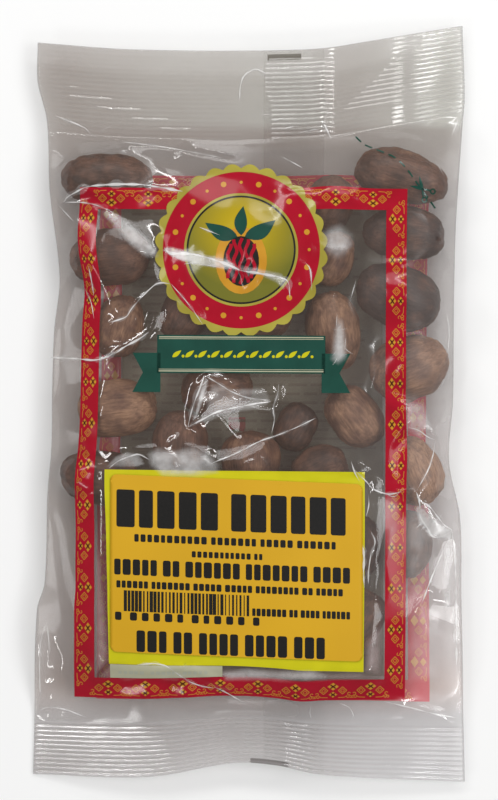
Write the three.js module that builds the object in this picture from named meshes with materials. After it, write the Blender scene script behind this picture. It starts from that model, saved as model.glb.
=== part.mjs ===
// A sealed clear film pack of whole nutmegs, lying on its back with the printed side up.
// Units are millimetres: +X to the pack's right, +Y towards its top seal, +Z up through the front.
// The pack is one closed solid: a front skin drawn over the nutmegs, and a back skin that lies flat
// where the pack rests. Both are membranes on one grid, and they meet in the end seals and side folds.
// The paper sticker on the front is a second solid.

import * as THREE from "three";

// ---- Driving dimensions -------------------------------------------------------------------------

const PACK_WIDTH = 121; // nominal, edge to edge
const PACK_LENGTH = 210; // nominal, end to end
const TOP_SEAL = 25; // length of the ribbed top seal
const BOTTOM_SEAL = 15; // length of the ribbed bottom seal
const SEAL_THICKNESS = 0.9; // both skins pressed together, with their ribs
const SIDE_THICKNESS = 0.9; // the folded film at a side
const SIDE_HEIGHT = 7.5; // of the side folds above the surface the pack lies on
const FILM_GAP = 0.4; // between a nutmeg and the outside of the skin
const SAG = 0.1; // how far the film sinks, at each grid corner, below the middle of its neighbours
const NUT_FLATNESS = 0.95; // a nutmeg's height over its width

const REST_WIDTH = 74; // the flat part of the back
const REST_LENGTH = 132;
const REST_CORNER = 20;
const REST_CENTRE_Y = -3;

const LABEL_WIDTH = 70.3;
const LABEL_LENGTH = 49.4;
const LABEL_CORNER = 1.8;
const LABEL_THICKNESS = 0.4;
const LABEL_GAP = 0.3; // between the sticker and the film
const LABEL_CENTRE = [-3.1, -45.5];
const LABEL_TURN = -2.3; // degrees, of its long edges; its short edges run straight along the pack
const LABEL_CREST = 18.8; // height of the film under the middle of the sticker
const LABEL_DROP_ACROSS = 1.6; // how far the sticker curves down from its middle to its sides
const LABEL_DROP_ALONG = 0.7; // and to its ends
const LABEL_MARGIN = 4; // the film stays smooth this far outside the sticker

const COLUMNS = 32; // grid cells across the pack
const ROWS = 56; // grid cells along it
const LABEL_COLUMNS = 14;
const LABEL_ROWS = 10;
const CORNER_STEPS = 3;
const SWEEPS = 400; // of the membrane solver
const OVER_RELAXATION = 1.6;

// The nutmegs: centre across and along, length, width, turn in degrees, lift off the back film.
const NUTMEGS = [
  [-39.8, 63.3, 26.4, 15.4, -3, 0],
  [-38.6, 41.4, 23.2, 16.8, 5, 0],
  [-36.2, 22.0, 18.4, 15.0, 74, 0],
  [-36.6, -1.0, 23.0, 17.4, 8, 0],
  [-41.5, -20.6, 23.2, 16.2, -8, 0],
  [-18.9, -11.2, 19.4, 16.6, 85, 0],
  [0.8, -16.2, 18.0, 17.2, 90, 0],
  [13.6, -6.4, 14.2, 12.4, 60, 0],
  [20.2, -18.6, 17.0, 14.4, 25, 0],
  [30.0, -3.6, 19.8, 15.0, -52, 1],
  [24.2, 20.6, 23.0, 15.6, 98, 0],
  [23.8, 41.0, 16.8, 12.9, 65, 0],
  [23.3, 56.8, 15.8, 14.6, 60, 0],
  [43.5, 64.2, 27.6, 15.2, -14, 1],
  [43.9, 48.2, 23.8, 15.6, -6, 0],
  [42.3, 30.2, 25.4, 18.4, -22, 0],
  [45.4, 10.0, 23.4, 18.6, 20, 0],
  [47.0, -18.6, 20.6, 15.6, -66, 0],
  [46.2, -39.4, 19.6, 12.8, 85, 0],
  [31.9, -40.0, 18.5, 12.6, 90, 0],
  [30.6, -60.4, 18.5, 15.7, 60, 0],
  [13.5, -68.5, 16.8, 12.9, 10, 0],
  [-17.4, 26.0, 18.5, 14.6, 60, 0],
  [-8.8, 4.6, 21.0, 15.6, 8, 0],
  [-9.6, 46.5, 20.2, 14.8, 75, 0],
  [6.8, 43.1, 20.2, 15.4, 110, 0],
  [2.6, 24.1, 20.7, 14.8, 10, 0],
  [-24.8, -31.1, 20.7, 14.2, 10, 0],
  [-5.0, -36.4, 20.2, 14.4, 60, 0],
  [13.6, -44.6, 20.2, 14.6, -20, 0],
  [-24.8, -52.1, 18.5, 14.6, 40, 0],
];

// The pack's outline: along each side, [distance along the pack, distance across it].
const LEFT_EDGE = [
  [-103, -60.8],
  [-58, -59.3],
  [-50, -57.1],
  [-25, -56.3],
  [-12, -55.2],
  [4, -55.0],
  [21, -54.4],
  [36, -52.9],
  [60, -55.7],
  [80, -56.6],
  [91, -59.2],
  [101, -59.2],
];
const RIGHT_EDGE = [
  [-105, 61.4],
  [-55, 60.2],
  [-32, 59.8],
  [-16, 56.7],
  [1, 57.8],
  [29, 58.1],
  [52, 58.7],
  [78, 60.7],
  [87, 61.4],
  [105, 60.8],
];
// Along each end, [distance across the pack, distance along it].
const TOP_EDGE = [
  [-60, 102.0],
  [-30, 99.9],
  [17, 99.9],
  [34, 102.3],
  [60, 107.0],
];
const BOTTOM_EDGE = [
  [-60, -104.8],
  [-28, -105.0],
  [-4, -100.9],
  [8, -101.6],
  [20, -104.2],
  [60, -106.7],
];

// The middle height of each end seal above the surface that the pack lies on, [distance across, height]:
// the seals float, and their corners droop.
const TOP_SEAL_HEIGHT = [
  [-60, 5.8],
  [-32, 6.9],
  [8, 7.8],
  [19.5, 8.0],
  [22.5, 7.75],
  [25, 7.43],
  [28, 7.2],
  [34, 6.8],
  [40, 6.2],
  [46, 5.45],
  [53, 4.4],
  [60, 3.4],
];
const BOTTOM_SEAL_HEIGHT = [
  [-60, 0.9],
  [-26, 6.6],
  [4, 7.6],
  [34, 6.0],
  [60, 3.4],
];

// ---- Curves and shapes --------------------------------------------------------------------------

const clamp = THREE.MathUtils.clamp;
const lerp = THREE.MathUtils.lerp;
const radians = THREE.MathUtils.degToRad;

// The value at `at` of a smooth curve through [position, value] knots, level at its ends.
function throughKnots(knots, at) {
  const last = knots.length - 1;
  if (at <= knots[0][0]) return knots[0][1];
  if (at >= knots[last][0]) return knots[last][1];
  const i = knots.findIndex((knot) => knot[0] > at) - 1;
  const [start, from] = knots[i];
  const [end, to] = knots[i + 1];
  const slope = (k) => {
    const a = knots[Math.max(k - 1, 0)];
    const b = knots[Math.min(k + 1, last)];
    return (b[1] - a[1]) / (b[0] - a[0]);
  };
  const t = (at - start) / (end - start);
  const span = end - start;
  const curve = new THREE.CubicBezierCurve(
    new THREE.Vector2(0, from),
    new THREE.Vector2(1 / 3, from + (slope(i) * span) / 3),
    new THREE.Vector2(2 / 3, to - (slope(i + 1) * span) / 3),
    new THREE.Vector2(1, to),
  );
  return curve.getPoint(t).y;
}

// Where a grid corner lies in plan; across and along run from 0 to 1.
function planPoint(across, along) {
  const nominal = (across - 0.5) * PACK_WIDTH;
  const y = lerp(
    throughKnots(BOTTOM_EDGE, nominal),
    throughKnots(TOP_EDGE, nominal),
    along,
  );
  const x = lerp(throughKnots(LEFT_EDGE, y), throughKnots(RIGHT_EDGE, y), across);
  return [x, y];
}

// A point in a nutmeg's own directions, from its centre.
function toLocal(x, y, centre, turn) {
  const dx = x - centre[0];
  const dy = y - centre[1];
  const c = Math.cos(radians(turn));
  const s = Math.sin(radians(turn));
  return [dx * c + dy * s, dy * c - dx * s];
}

// The half height of a nutmeg over a plan point, or 0 outside its outline.
function nutHalfHeight(nut, x, y) {
  const [cx, cy, length, width, turn] = nut;
  const [u, v] = toLocal(x, y, [cx, cy], turn);
  const inside = 1 - (2 * u / length) ** 2 - (2 * v / width) ** 2;
  return inside > 0 ? 0.5 * width * NUT_FLATNESS * Math.sqrt(inside) : 0;
}

function nutCentreHeight(nut) {
  return 0.5 * nut[3] * NUT_FLATNESS + FILM_GAP + nut[5];
}

// Where a point of the sticker lies in plan, and the reverse.
function fromLabel(u, v) {
  const slope = radians(LABEL_TURN);
  return [LABEL_CENTRE[0] + u * Math.cos(slope), LABEL_CENTRE[1] + u * Math.sin(slope) + v];
}

function toLabel(x, y) {
  const slope = radians(LABEL_TURN);
  const u = (x - LABEL_CENTRE[0]) / Math.cos(slope);
  return [u, y - LABEL_CENTRE[1] - u * Math.sin(slope)];
}

// The film under the sticker is a shallow dome, so that the sticker lies smooth.
function labelDome(x, y) {
  const [u, v] = toLabel(x, y);
  const across = (2 * u) / LABEL_WIDTH;
  const along = (2 * v) / LABEL_LENGTH;
  return LABEL_CREST - LABEL_DROP_ACROSS * across ** 2 - LABEL_DROP_ALONG * along ** 2;
}

function underLabel(x, y) {
  const [u, v] = toLabel(x, y);
  const [beyondSide, beyondEnd] = [Math.abs(u) - LABEL_WIDTH / 2, Math.abs(v) - LABEL_LENGTH / 2];
  return Math.max(beyondSide, beyondEnd) < LABEL_MARGIN;
}

// The least height of the front skin over a plan point, which is the top of a nutmeg below it.
function frontFloor(x, y) {
  let height = 0;
  for (const nut of NUTMEGS) {
    const half = nutHalfHeight(nut, x, y);
    if (half > 0) height = Math.max(height, nutCentreHeight(nut) + half + FILM_GAP);
  }
  return height;
}

// The greatest height of the back skin over a plan point: below each nutmeg, and 0 where it rests.
function backCeiling(x, y) {
  const dx = Math.max(Math.abs(x) - REST_WIDTH / 2 + REST_CORNER, 0);
  const dy = Math.max(Math.abs(y - REST_CENTRE_Y) - REST_LENGTH / 2 + REST_CORNER, 0);
  if (Math.hypot(dx, dy) <= REST_CORNER) return 0;
  let height = Infinity;
  for (const nut of NUTMEGS) {
    const half = nutHalfHeight(nut, x, y);
    if (half > 0) height = Math.min(height, nutCentreHeight(nut) - half - FILM_GAP);
  }
  return Math.max(height, 0);
}

function sealHeight(across, along) {
  const knots = along > 0.5 ? TOP_SEAL_HEIGHT : BOTTOM_SEAL_HEIGHT;
  return throughKnots(knots, (across - 0.5) * PACK_WIDTH);
}

// ---- The two skins on one grid --------------------------------------------------------------------

const stride = COLUMNS + 1;
const corner = (i, j) => j * stride + i;

function gridCorners() {
  const corners = [];
  for (let j = 0; j <= ROWS; j++) {
    for (let i = 0; i <= COLUMNS; i++) {
      const across = i / COLUMNS;
      const along = j / ROWS;
      const [x, y] = planPoint(across, along);
      const fromTop = (1 - along) * PACK_LENGTH;
      const fromBottom = along * PACK_LENGTH;
      const sealed = fromTop < TOP_SEAL || fromBottom < BOTTOM_SEAL;
      const side = i === 0 || i === COLUMNS;
      corners.push({ x, y, across, along, sealed, side });
    }
  }
  return corners;
}

// Height of the pressed film at a fixed corner; a side fold blends into the end seals.
function edgeHeight({ across, along, sealed }) {
  if (sealed) return sealHeight(across, along);
  const toTop = (1 - along) * PACK_LENGTH - TOP_SEAL;
  const toBottom = along * PACK_LENGTH - BOTTOM_SEAL;
  const blend = clamp(Math.min(toTop, toBottom) / TOP_SEAL, 0, 1);
  return lerp(sealHeight(across, along), SIDE_HEIGHT, THREE.MathUtils.smoothstep(blend, 0, 1));
}

// Relaxes a stretched membrane: fixed corners stay, and `limit` keeps the rest off the contents.
function stretch(corners, offset, limit) {
  const heights = corners.map((c) => edgeHeight(c) + offset(c));
  const free = corners.map((c) => !c.sealed && !c.side);
  for (let sweep = 0; sweep < SWEEPS; sweep++) {
    for (let j = 1; j < ROWS; j++) {
      for (let i = 1; i < COLUMNS; i++) {
        const k = corner(i, j);
        if (!free[k]) continue;
        const around = heights[k - 1] + heights[k + 1] + heights[k - stride] + heights[k + stride];
        const moved = heights[k] + OVER_RELAXATION * (around / 4 - SAG - heights[k]);
        heights[k] = limit(moved, k);
      }
    }
  }
  return heights;
}

function packGeometry() {
  const corners = gridCorners();
  const floors = corners.map((c) => frontFloor(c.x, c.y));
  const domes = corners.map((c) => (underLabel(c.x, c.y) ? labelDome(c.x, c.y) : null));
  const ceilings = corners.map((c) => backCeiling(c.x, c.y));
  const half = (c) => (c.side && !c.sealed ? SIDE_THICKNESS : SEAL_THICKNESS) / 2;
  const front = stretch(corners, half, (z, k) => domes[k] ?? Math.max(z, floors[k]));
  const back = stretch(corners, (c) => -half(c), (z, k) => clamp(z, 0, ceilings[k]));

  const positions = [];
  corners.forEach((c, k) => positions.push(c.x, c.y, front[k]));
  corners.forEach((c, k) => positions.push(c.x, c.y, back[k]));
  const under = corners.length; // index of the first back corner
  const triangles = [];
  for (let j = 0; j < ROWS; j++) {
    for (let i = 0; i < COLUMNS; i++) {
      const [a, b] = [corner(i, j), corner(i + 1, j)];
      const [c, d] = [corner(i + 1, j + 1), corner(i, j + 1)];
      triangles.push(a, b, c, a, c, d);
      triangles.push(under + a, under + c, under + b, under + a, under + d, under + c);
    }
  }
  const wall = (a, b) => triangles.push(a, under + a, under + b, a, under + b, b);
  for (let i = 0; i < COLUMNS; i++) {
    wall(corner(i, 0), corner(i + 1, 0));
    wall(corner(i + 1, ROWS), corner(i, ROWS));
  }
  for (let j = 0; j < ROWS; j++) {
    wall(corner(COLUMNS, j), corner(COLUMNS, j + 1));
    wall(corner(0, j + 1), corner(0, j));
  }
  return closedGeometry(positions, triangles);
}

// ---- The paper sticker ------------------------------------------------------------------------------

// The sticker's grid lines follow its rounded outline: each row's half width shrinks near the ends.
function labelGeometry() {
  const endRows = [];
  for (let s = 0; s < CORNER_STEPS; s++) {
    endRows.push(LABEL_CORNER * (1 - Math.cos((s / CORNER_STEPS) * (Math.PI / 2))));
  }
  const plainRows = [];
  for (let s = 0; s <= LABEL_ROWS; s++) {
    plainRows.push(lerp(LABEL_CORNER, LABEL_LENGTH - LABEL_CORNER, s / LABEL_ROWS));
  }
  const farRows = endRows.map((v) => LABEL_LENGTH - v).reverse();
  const lines = [...endRows, ...plainRows, ...farRows];

  const positions = [];
  for (const lift of [LABEL_GAP + LABEL_THICKNESS, LABEL_GAP]) {
    for (const line of lines) {
      const inCorner = Math.max(LABEL_CORNER - Math.min(line, LABEL_LENGTH - line), 0);
      const cut = LABEL_CORNER - Math.sqrt(LABEL_CORNER ** 2 - inCorner ** 2);
      const halfWidth = LABEL_WIDTH / 2 - cut;
      for (let i = 0; i <= LABEL_COLUMNS; i++) {
        const u = lerp(-halfWidth, halfWidth, i / LABEL_COLUMNS);
        const v = line - LABEL_LENGTH / 2;
        const [x, y] = fromLabel(u, v);
        positions.push(x, y, labelDome(x, y) + lift);
      }
    }
  }
  const across = LABEL_COLUMNS + 1;
  const under = across * lines.length; // index of the first corner of the lower face
  const at = (i, j) => j * across + i;
  const last = lines.length - 1;
  const triangles = [];
  for (let j = 0; j < last; j++) {
    for (let i = 0; i < LABEL_COLUMNS; i++) {
      const [a, b] = [at(i, j), at(i + 1, j)];
      const [c, d] = [at(i + 1, j + 1), at(i, j + 1)];
      triangles.push(a, b, c, a, c, d);
      triangles.push(under + a, under + c, under + b, under + a, under + d, under + c);
    }
  }
  const wall = (a, b) => triangles.push(a, under + a, under + b, a, under + b, b);
  for (let i = 0; i < LABEL_COLUMNS; i++) {
    wall(at(i, 0), at(i + 1, 0));
    wall(at(i + 1, last), at(i, last));
  }
  for (let j = 0; j < last; j++) {
    wall(at(LABEL_COLUMNS, j), at(LABEL_COLUMNS, j + 1));
    wall(at(0, j + 1), at(0, j));
  }
  return closedGeometry(positions, triangles);
}

function closedGeometry(positions, triangles) {
  const geometry = new THREE.BufferGeometry();
  geometry.setAttribute("position", new THREE.Float32BufferAttribute(positions, 3));
  geometry.setIndex(triangles);
  geometry.computeVertexNormals();
  return geometry;
}

// ---- The part ---------------------------------------------------------------------------------------

const film = new THREE.MeshStandardMaterial({ color: 0x8a6c50, roughness: 0.25, metalness: 0 });
const paper = new THREE.MeshStandardMaterial({ color: 0xd7a523, roughness: 0.6, metalness: 0 });

const part = new THREE.Group();
const pack = new THREE.Mesh(packGeometry(), film);
pack.name = "pack";
const label = new THREE.Mesh(labelGeometry(), paper);
label.name = "label";
part.add(pack, label);

// The origin is the middle of the pack's own box, at the surface it lies on.
pack.geometry.computeBoundingBox();
const middle = pack.geometry.boundingBox.getCenter(new THREE.Vector3());
part.children.forEach((mesh) => mesh.position.set(-middle.x, -middle.y, 0));

export default part;
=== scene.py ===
# %% [markdown]
# # A clear film pack of whole nutmegs
#
# The real thing is a tube of clear polypropylene film, printed on the front and the back, sealed along
# the back by a fin, and crimped shut at both ends round about a hundred grams of whole nutmegs. A paper
# sticker is on the front. The pack lies on its back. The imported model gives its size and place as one
# closed solid, and this script replaces that solid with film, print and nutmegs.
#
# Lengths are named values in millimetres, and meshes are in metres.

import math

import bpy
import numpy as np
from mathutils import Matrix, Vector
from mathutils.geometry import delaunay_2d_cdt, tessellate_polygon


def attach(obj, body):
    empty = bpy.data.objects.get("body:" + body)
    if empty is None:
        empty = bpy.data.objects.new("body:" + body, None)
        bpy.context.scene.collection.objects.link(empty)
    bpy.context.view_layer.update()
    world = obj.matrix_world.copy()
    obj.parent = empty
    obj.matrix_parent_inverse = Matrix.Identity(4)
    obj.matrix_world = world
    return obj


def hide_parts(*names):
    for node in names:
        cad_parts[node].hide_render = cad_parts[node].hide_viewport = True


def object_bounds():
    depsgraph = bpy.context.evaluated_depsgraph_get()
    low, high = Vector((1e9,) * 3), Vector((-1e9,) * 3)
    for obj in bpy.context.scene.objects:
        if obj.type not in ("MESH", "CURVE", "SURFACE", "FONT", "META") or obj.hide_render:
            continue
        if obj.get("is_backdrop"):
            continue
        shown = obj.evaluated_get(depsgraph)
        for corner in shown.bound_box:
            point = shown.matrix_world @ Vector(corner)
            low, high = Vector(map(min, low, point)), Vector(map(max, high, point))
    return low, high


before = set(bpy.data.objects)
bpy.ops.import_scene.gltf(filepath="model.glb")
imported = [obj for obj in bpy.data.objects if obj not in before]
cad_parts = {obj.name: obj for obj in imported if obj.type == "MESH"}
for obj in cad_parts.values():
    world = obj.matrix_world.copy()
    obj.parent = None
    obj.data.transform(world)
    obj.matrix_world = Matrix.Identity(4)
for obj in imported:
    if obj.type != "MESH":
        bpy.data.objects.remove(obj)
cad_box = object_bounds()
MM = 0.001

# %% [markdown]
# ## The size and outline of the pack
#
# The outline is a rectangle that the contents have pulled in at the sides. Each edge is a smooth curve
# through a few measured knots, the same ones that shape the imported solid, so the film lands in its place.

# %% Dimensions of the pack
PACK_WIDTH = 121.0
PACK_LENGTH = 210.0
TOP_SEAL = 25.0
BOTTOM_SEAL = 15.0
SIDE_HEIGHT = 7.5  # of the side folds above the table
TABLE_GAP = 0.35  # between the table and the back film, where the fin seal lies
FILM_GAP = 0.45  # between a nutmeg and the film
NUT_FLATNESS = 0.95  # a nutmeg's height over its width
SEAL_GAP = 0.06  # half the distance between the two skins in a seal

LEFT_EDGE = [
    (-103, -60.8), (-58, -59.3), (-50, -57.1), (-25, -56.3), (-12, -55.2), (4, -55.0), (21, -54.4),
    (36, -52.9), (60, -55.7), (80, -56.6), (91, -59.2), (101, -59.2),
]
RIGHT_EDGE = [
    (-105, 61.4), (-55, 60.2), (-32, 59.8), (-16, 56.7), (1, 57.8), (29, 58.1), (52, 58.7), (78, 60.7),
    (87, 61.4), (105, 60.8),
]
TOP_EDGE = [(-60, 102.0), (-30, 99.9), (17, 99.9), (34, 102.3), (60, 107.0)]
BOTTOM_EDGE = [(-60, -104.8), (-28, -105.0), (-4, -100.9), (8, -101.6), (20, -104.2), (60, -106.7)]
# Where the film has slipped sideways: place, reach across and along, shift across and along.
SLIPS = [
    (-46.0, -22.0, 7.0, 12.0, -1.3, 0.0),
    (-46.0, -44.0, 7.0, 12.0, -0.8, 0.0),
    (-46.0, 46.0, 7.0, 9.0, -1.5, 0.0),
    (-46.0, 32.0, 6.0, 6.0, 0.4, 0.0),
    (12.0, -80.0, 14.0, 6.0, 0.0, -0.7),
    (14.5, -80.0, 4.5, 6.0, 0.0, -0.6),
    (24.0, 60.0, 8.0, 6.0, 0.0, 0.8),
    (46.0, -14.0, 7.0, 10.0, 0.9, 0.0),
]
TOP_SEAL_HEIGHT = [
    (-60, 5.8), (-32, 6.9), (8, 7.8), (19.5, 8.0), (22.5, 7.75), (25, 7.43), (28, 7.2), (34, 6.8),
    (40, 6.2), (46, 5.45), (53, 4.4), (60, 3.4),
]
BOTTOM_SEAL_HEIGHT = [(-60, 0.9), (-26, 6.6), (4, 7.6), (34, 6.0), (60, 3.4)]

# Centre across and along, length, width, turn in degrees, lift off the back film, and how pale it is.
NUTMEGS = [
    (-39.8, 63.3, 26.4, 15.4, -3, 0, 0.25),
    (-38.6, 41.4, 23.2, 16.8, 5, 0, 0.40),
    (-36.2, 22.0, 18.4, 15.0, 74, 0, 0.62),
    (-36.6, -1.0, 23.0, 17.4, 8, 0, 0.75),
    (-41.5, -20.6, 23.2, 16.2, -8, 0, 0.22),
    (-18.9, -11.2, 19.4, 16.6, 85, 0, 0.40),
    (0.8, -16.2, 18.0, 17.2, 90, 0, 0.45),
    (13.6, -6.4, 14.2, 12.4, 60, 0, 0.12),
    (20.2, -18.6, 17.0, 14.4, 25, 0, 0.30),
    (30.0, -3.6, 19.8, 15.0, -52, 1, 0.65),
    (24.2, 20.6, 23.0, 15.6, 98, 0, 0.70),
    (23.8, 41.0, 16.8, 12.9, 65, 0, 0.60),
    (23.3, 56.8, 15.8, 14.6, 60, 0, 0.30),
    (43.5, 64.2, 27.6, 15.2, -14, 1, 0.34),
    (43.9, 48.2, 23.8, 15.6, -6, 0, 0.14),
    (42.3, 30.2, 25.4, 18.4, -22, 0, 0.05),
    (45.4, 10.0, 23.4, 18.6, 20, 0, 0.68),
    (47.0, -18.6, 20.6, 15.6, -66, 0, 0.9),
    (46.2, -39.4, 19.6, 12.8, 85, 0, 0.35),
    (31.9, -40.0, 18.5, 12.6, 90, 0, 0.20),
    (30.6, -60.4, 18.5, 15.7, 60, 0, 0.35),
    (13.5, -68.5, 16.8, 12.9, 10, 0, 0.30),
    (-17.4, 26.0, 18.5, 14.6, 60, 0, 0.35),
    (-8.8, 4.6, 21.0, 15.6, 8, 0, 0.45),
    (-9.6, 46.5, 20.2, 14.8, 75, 0, 0.40),
    (6.8, 43.1, 20.2, 15.4, 110, 0, 0.50),
    (2.6, 24.1, 20.7, 14.8, 10, 0, 0.60),
    (-24.8, -31.1, 20.7, 14.2, 10, 0, 0.40),
    (-5.0, -36.4, 20.2, 14.4, 60, 0, 0.50),
    (13.6, -44.6, 20.2, 14.6, -20, 0, 0.45),
    (-24.8, -52.1, 18.5, 14.6, 40, 0, 0.50),
]


def through_knots(knots, at):
    """The value at `at` of a smooth curve through (position, value) knots, level past its ends."""
    place, value = np.array(knots, float).T
    wide = np.r_[place[0], place, place[-1]]
    tall = np.r_[value[0], value, value[-1]]
    slope = (tall[2:] - tall[:-2]) / (wide[2:] - wide[:-2])
    i = np.clip(np.searchsorted(place, at, side="right") - 1, 0, len(place) - 2)
    span = place[i + 1] - place[i]
    t = np.clip((at - place[i]) / span, 0, 1)
    rise = value[i + 1] - value[i]
    start, end = slope[i] * span, slope[i + 1] * span
    return value[i] + t * (start + t * (3 * rise - 2 * start - end + t * (start + end - 2 * rise)))


# %% [markdown]
# ## Colours, nodes and meshes
#
# Colours are given as sRGB hex values, as read off a swatch, and one function turns them into the linear
# values that Blender works in. Inks, paper and thermal print are never one flat colour. Each drifts between
# two near tones, on a cloud of noise that is fixed to the object, so it stays put from any side.

# %% Colour, node and mesh helpers


def linear(hex_colour, alpha=1.0):
    values = [int(hex_colour[i : i + 2], 16) / 255 for i in (1, 3, 5)]
    return tuple(v / 12.92 if v <= 0.04045 else ((v + 0.055) / 1.055) ** 2.4 for v in values) + (alpha,)


def feed(tree, node, **links):
    """Sets a node's inputs, each to a value or to another node's socket; _0 is the first input."""
    for name, value in links.items():
        socket = node.inputs[int(name[1:])] if name[1:].isdigit() else node.inputs[name.replace("_", " ")]
        if isinstance(value, bpy.types.NodeSocket):
            tree.links.new(value, socket)
        else:
            socket.default_value = value


def add_node(tree, kind, settings=None, **links):
    """Adds a node; settings are its properties, and links are input values or other nodes' sockets."""
    node = tree.nodes.new(kind)
    for name, value in (settings or {}).items():
        setattr(node, name, value)
    feed(tree, node, **links)
    return node


def new_material(name):
    material = bpy.data.materials.new(name)
    material.use_nodes = True
    shader = next(n for n in material.node_tree.nodes if n.type == "BSDF_PRINCIPLED")
    return material, material.node_tree, shader


def mottled(name, low, high, scale, detail, **surface):
    """A material whose colour drifts between two near tones, and its shader and place; scale is per metre."""
    material, tree, shader = new_material(name)
    place = add_node(tree, "ShaderNodeTexCoord").outputs["Object"]
    cloud = add_node(tree, "ShaderNodeTexNoise", Vector=place, Scale=scale, Detail=detail)
    colour = add_node(tree, "ShaderNodeMix", {"data_type": "RGBA"}, Factor=cloud.outputs["Fac"])
    feed(tree, colour, _6=linear(low), _7=linear(high))
    feed(tree, shader, Base_Color=colour.outputs[2], **surface)
    return material, tree, shader, place


def mesh_object(name, points, faces, material, smooth=True):
    mesh = bpy.data.meshes.new(name)
    mesh.from_pydata(np.asarray(points).tolist(), [], [list(map(int, face)) for face in faces])
    mesh.polygons.foreach_set("use_smooth", [smooth] * len(mesh.polygons))
    mesh.materials.append(material)
    made = bpy.data.objects.new(name, mesh)
    bpy.context.collection.objects.link(made)
    return made


def stand_for(piece, node, slot):
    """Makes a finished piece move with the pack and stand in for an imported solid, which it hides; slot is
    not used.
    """
    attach(piece, "root")
    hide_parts(node)


print("a mid grey is", round(linear("#808080")[0], 3), "in linear values")


# %% [markdown]
# ## The floor, the light and the camera
#
# The pack is looked at straight from above, as a copy stand does, so a long lens a metre away keeps its
# sides parallel. Clear film shows only what it mirrors. Seven narrow strip lights stand round the pack: film
# that lies flat mirrors none of them and stays clear, and each crease catches one as a thin bright line. Two
# wide soft lights give the broader folds a dim sheen.

# %% Floor, lights and camera
IMAGE_HEIGHT = 800
MM_PER_PIXEL = 0.28  # at the height of the film
CAMERA_HEIGHT = 900.0
FILM_HEIGHT = 12.0
SENSOR_HEIGHT = 24.0
VIEW_CENTRE = (0.1, 1.1)
FLOOR_REACH = 3000.0
SKY_STRENGTH = 0.30

# Name, azimuth from +Y towards +X, elevation, distance, length and width in metres, and radiance.
LIGHTS = [
    ("strip_north_east", 30, 42, 1.2, 0.80, 0.06, 16),
    ("strip_north", -2, 29, 1.2, 0.50, 0.05, 14),
    ("strip_north_west", -34, 45, 1.2, 0.75, 0.06, 16),
    ("strip_south_east", 132, 46, 1.2, 0.40, 0.06, 16),
    ("strip_south_west", -130, 40, 1.2, 0.45, 0.06, 16),
    ("strip_high_west", -75, 66, 1.2, 0.45, 0.06, 14),
    ("strip_high_east", 80, 70, 1.2, 0.35, 0.06, 9),
    ("soft_north", 0, 46, 1.4, 0.60, 0.40, 3.0),
    ("soft_east", 88, 52, 1.4, 0.70, 0.60, 4.0),
]


def make_floor():
    """Matt white card: it spreads the light evenly and mirrors next to nothing."""
    material, tree, shader = new_material("matt_white_card")
    feed(tree, shader, Base_Color=linear("#F7F7F6"), Roughness=0.9, Specular_IOR_Level=0.2)
    size = FLOOR_REACH * MM
    corners = [(-size, -size, 0), (size, -size, 0), (size, size, 0), (-size, size, 0)]
    mesh_object("floor", corners, [(0, 1, 2, 3)], material, smooth=False)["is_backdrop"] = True


def light_place(azimuth, elevation, distance):
    a, e = math.radians(azimuth), math.radians(elevation)
    level = distance * math.cos(e)
    return level * math.sin(a), level * math.cos(a), distance * math.sin(e)


def add_light(name, azimuth, elevation, distance, length, width, radiance):
    """A light that faces the pack; its long side lies level."""
    lamp = bpy.data.lights.new(name, "AREA")
    lamp.shape = "RECTANGLE"
    lamp.size, lamp.size_y = length, width
    lamp.energy = radiance * math.pi * length * width
    light = bpy.data.objects.new(name, lamp)
    bpy.context.collection.objects.link(light)
    light.location = light_place(azimuth, elevation, distance)
    light.rotation_euler = (math.pi / 2 - math.radians(elevation), 0, math.pi - math.radians(azimuth))


def make_lights():
    for row in LIGHTS:
        add_light(*row)
    world = bpy.data.worlds.new("studio")
    world.use_nodes = True
    sky = world.node_tree.nodes["Background"]
    feed(world.node_tree, sky, Color=linear("#F4F4F6"), Strength=SKY_STRENGTH)
    bpy.context.scene.world = world
    bpy.context.scene.view_settings.view_transform = "Standard"


def make_camera():
    lens = bpy.data.cameras.new("camera")
    lens.sensor_fit = "VERTICAL"
    lens.sensor_height = SENSOR_HEIGHT
    lens.lens = SENSOR_HEIGHT * (CAMERA_HEIGHT - FILM_HEIGHT) / (IMAGE_HEIGHT * MM_PER_PIXEL)
    camera = bpy.data.objects.new("camera", lens)
    bpy.context.collection.objects.link(camera)
    camera.location = (VIEW_CENTRE[0] * MM, VIEW_CENTRE[1] * MM, CAMERA_HEIGHT * MM)
    bpy.context.scene.camera = camera
    print("lens %.1f mm" % lens.lens)


make_floor()
make_lights()
make_camera()

# %% [markdown]
# ## The film: a grid and two membranes
#
# A filled bag is a sheet pulled tight over what is in it. A soap film between the same fixed edges has the
# same kind of shape: each point sits at the mean height of its neighbours, unless a nutmeg holds it up.
# Repeating that rule over a grid of points, with over-relaxation, settles the shape in well under a second.
# The rows are finer in the end seals, where the crimping jaws press ribs into the film.

# %% The grid of the film
RIB_PITCH = 1.3
ROWS_PER_RIB = 4
BODY_CELL = 0.9
EDGE_PULL = 5  # the outline's curves fade away from the edge by this power
TOP_FADE = (67.0, 80.0)  # the top edge's curve fades in between these, so the whole seal follows it
HAIR = 1e-6  # a slack for comparing places on the grid

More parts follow.
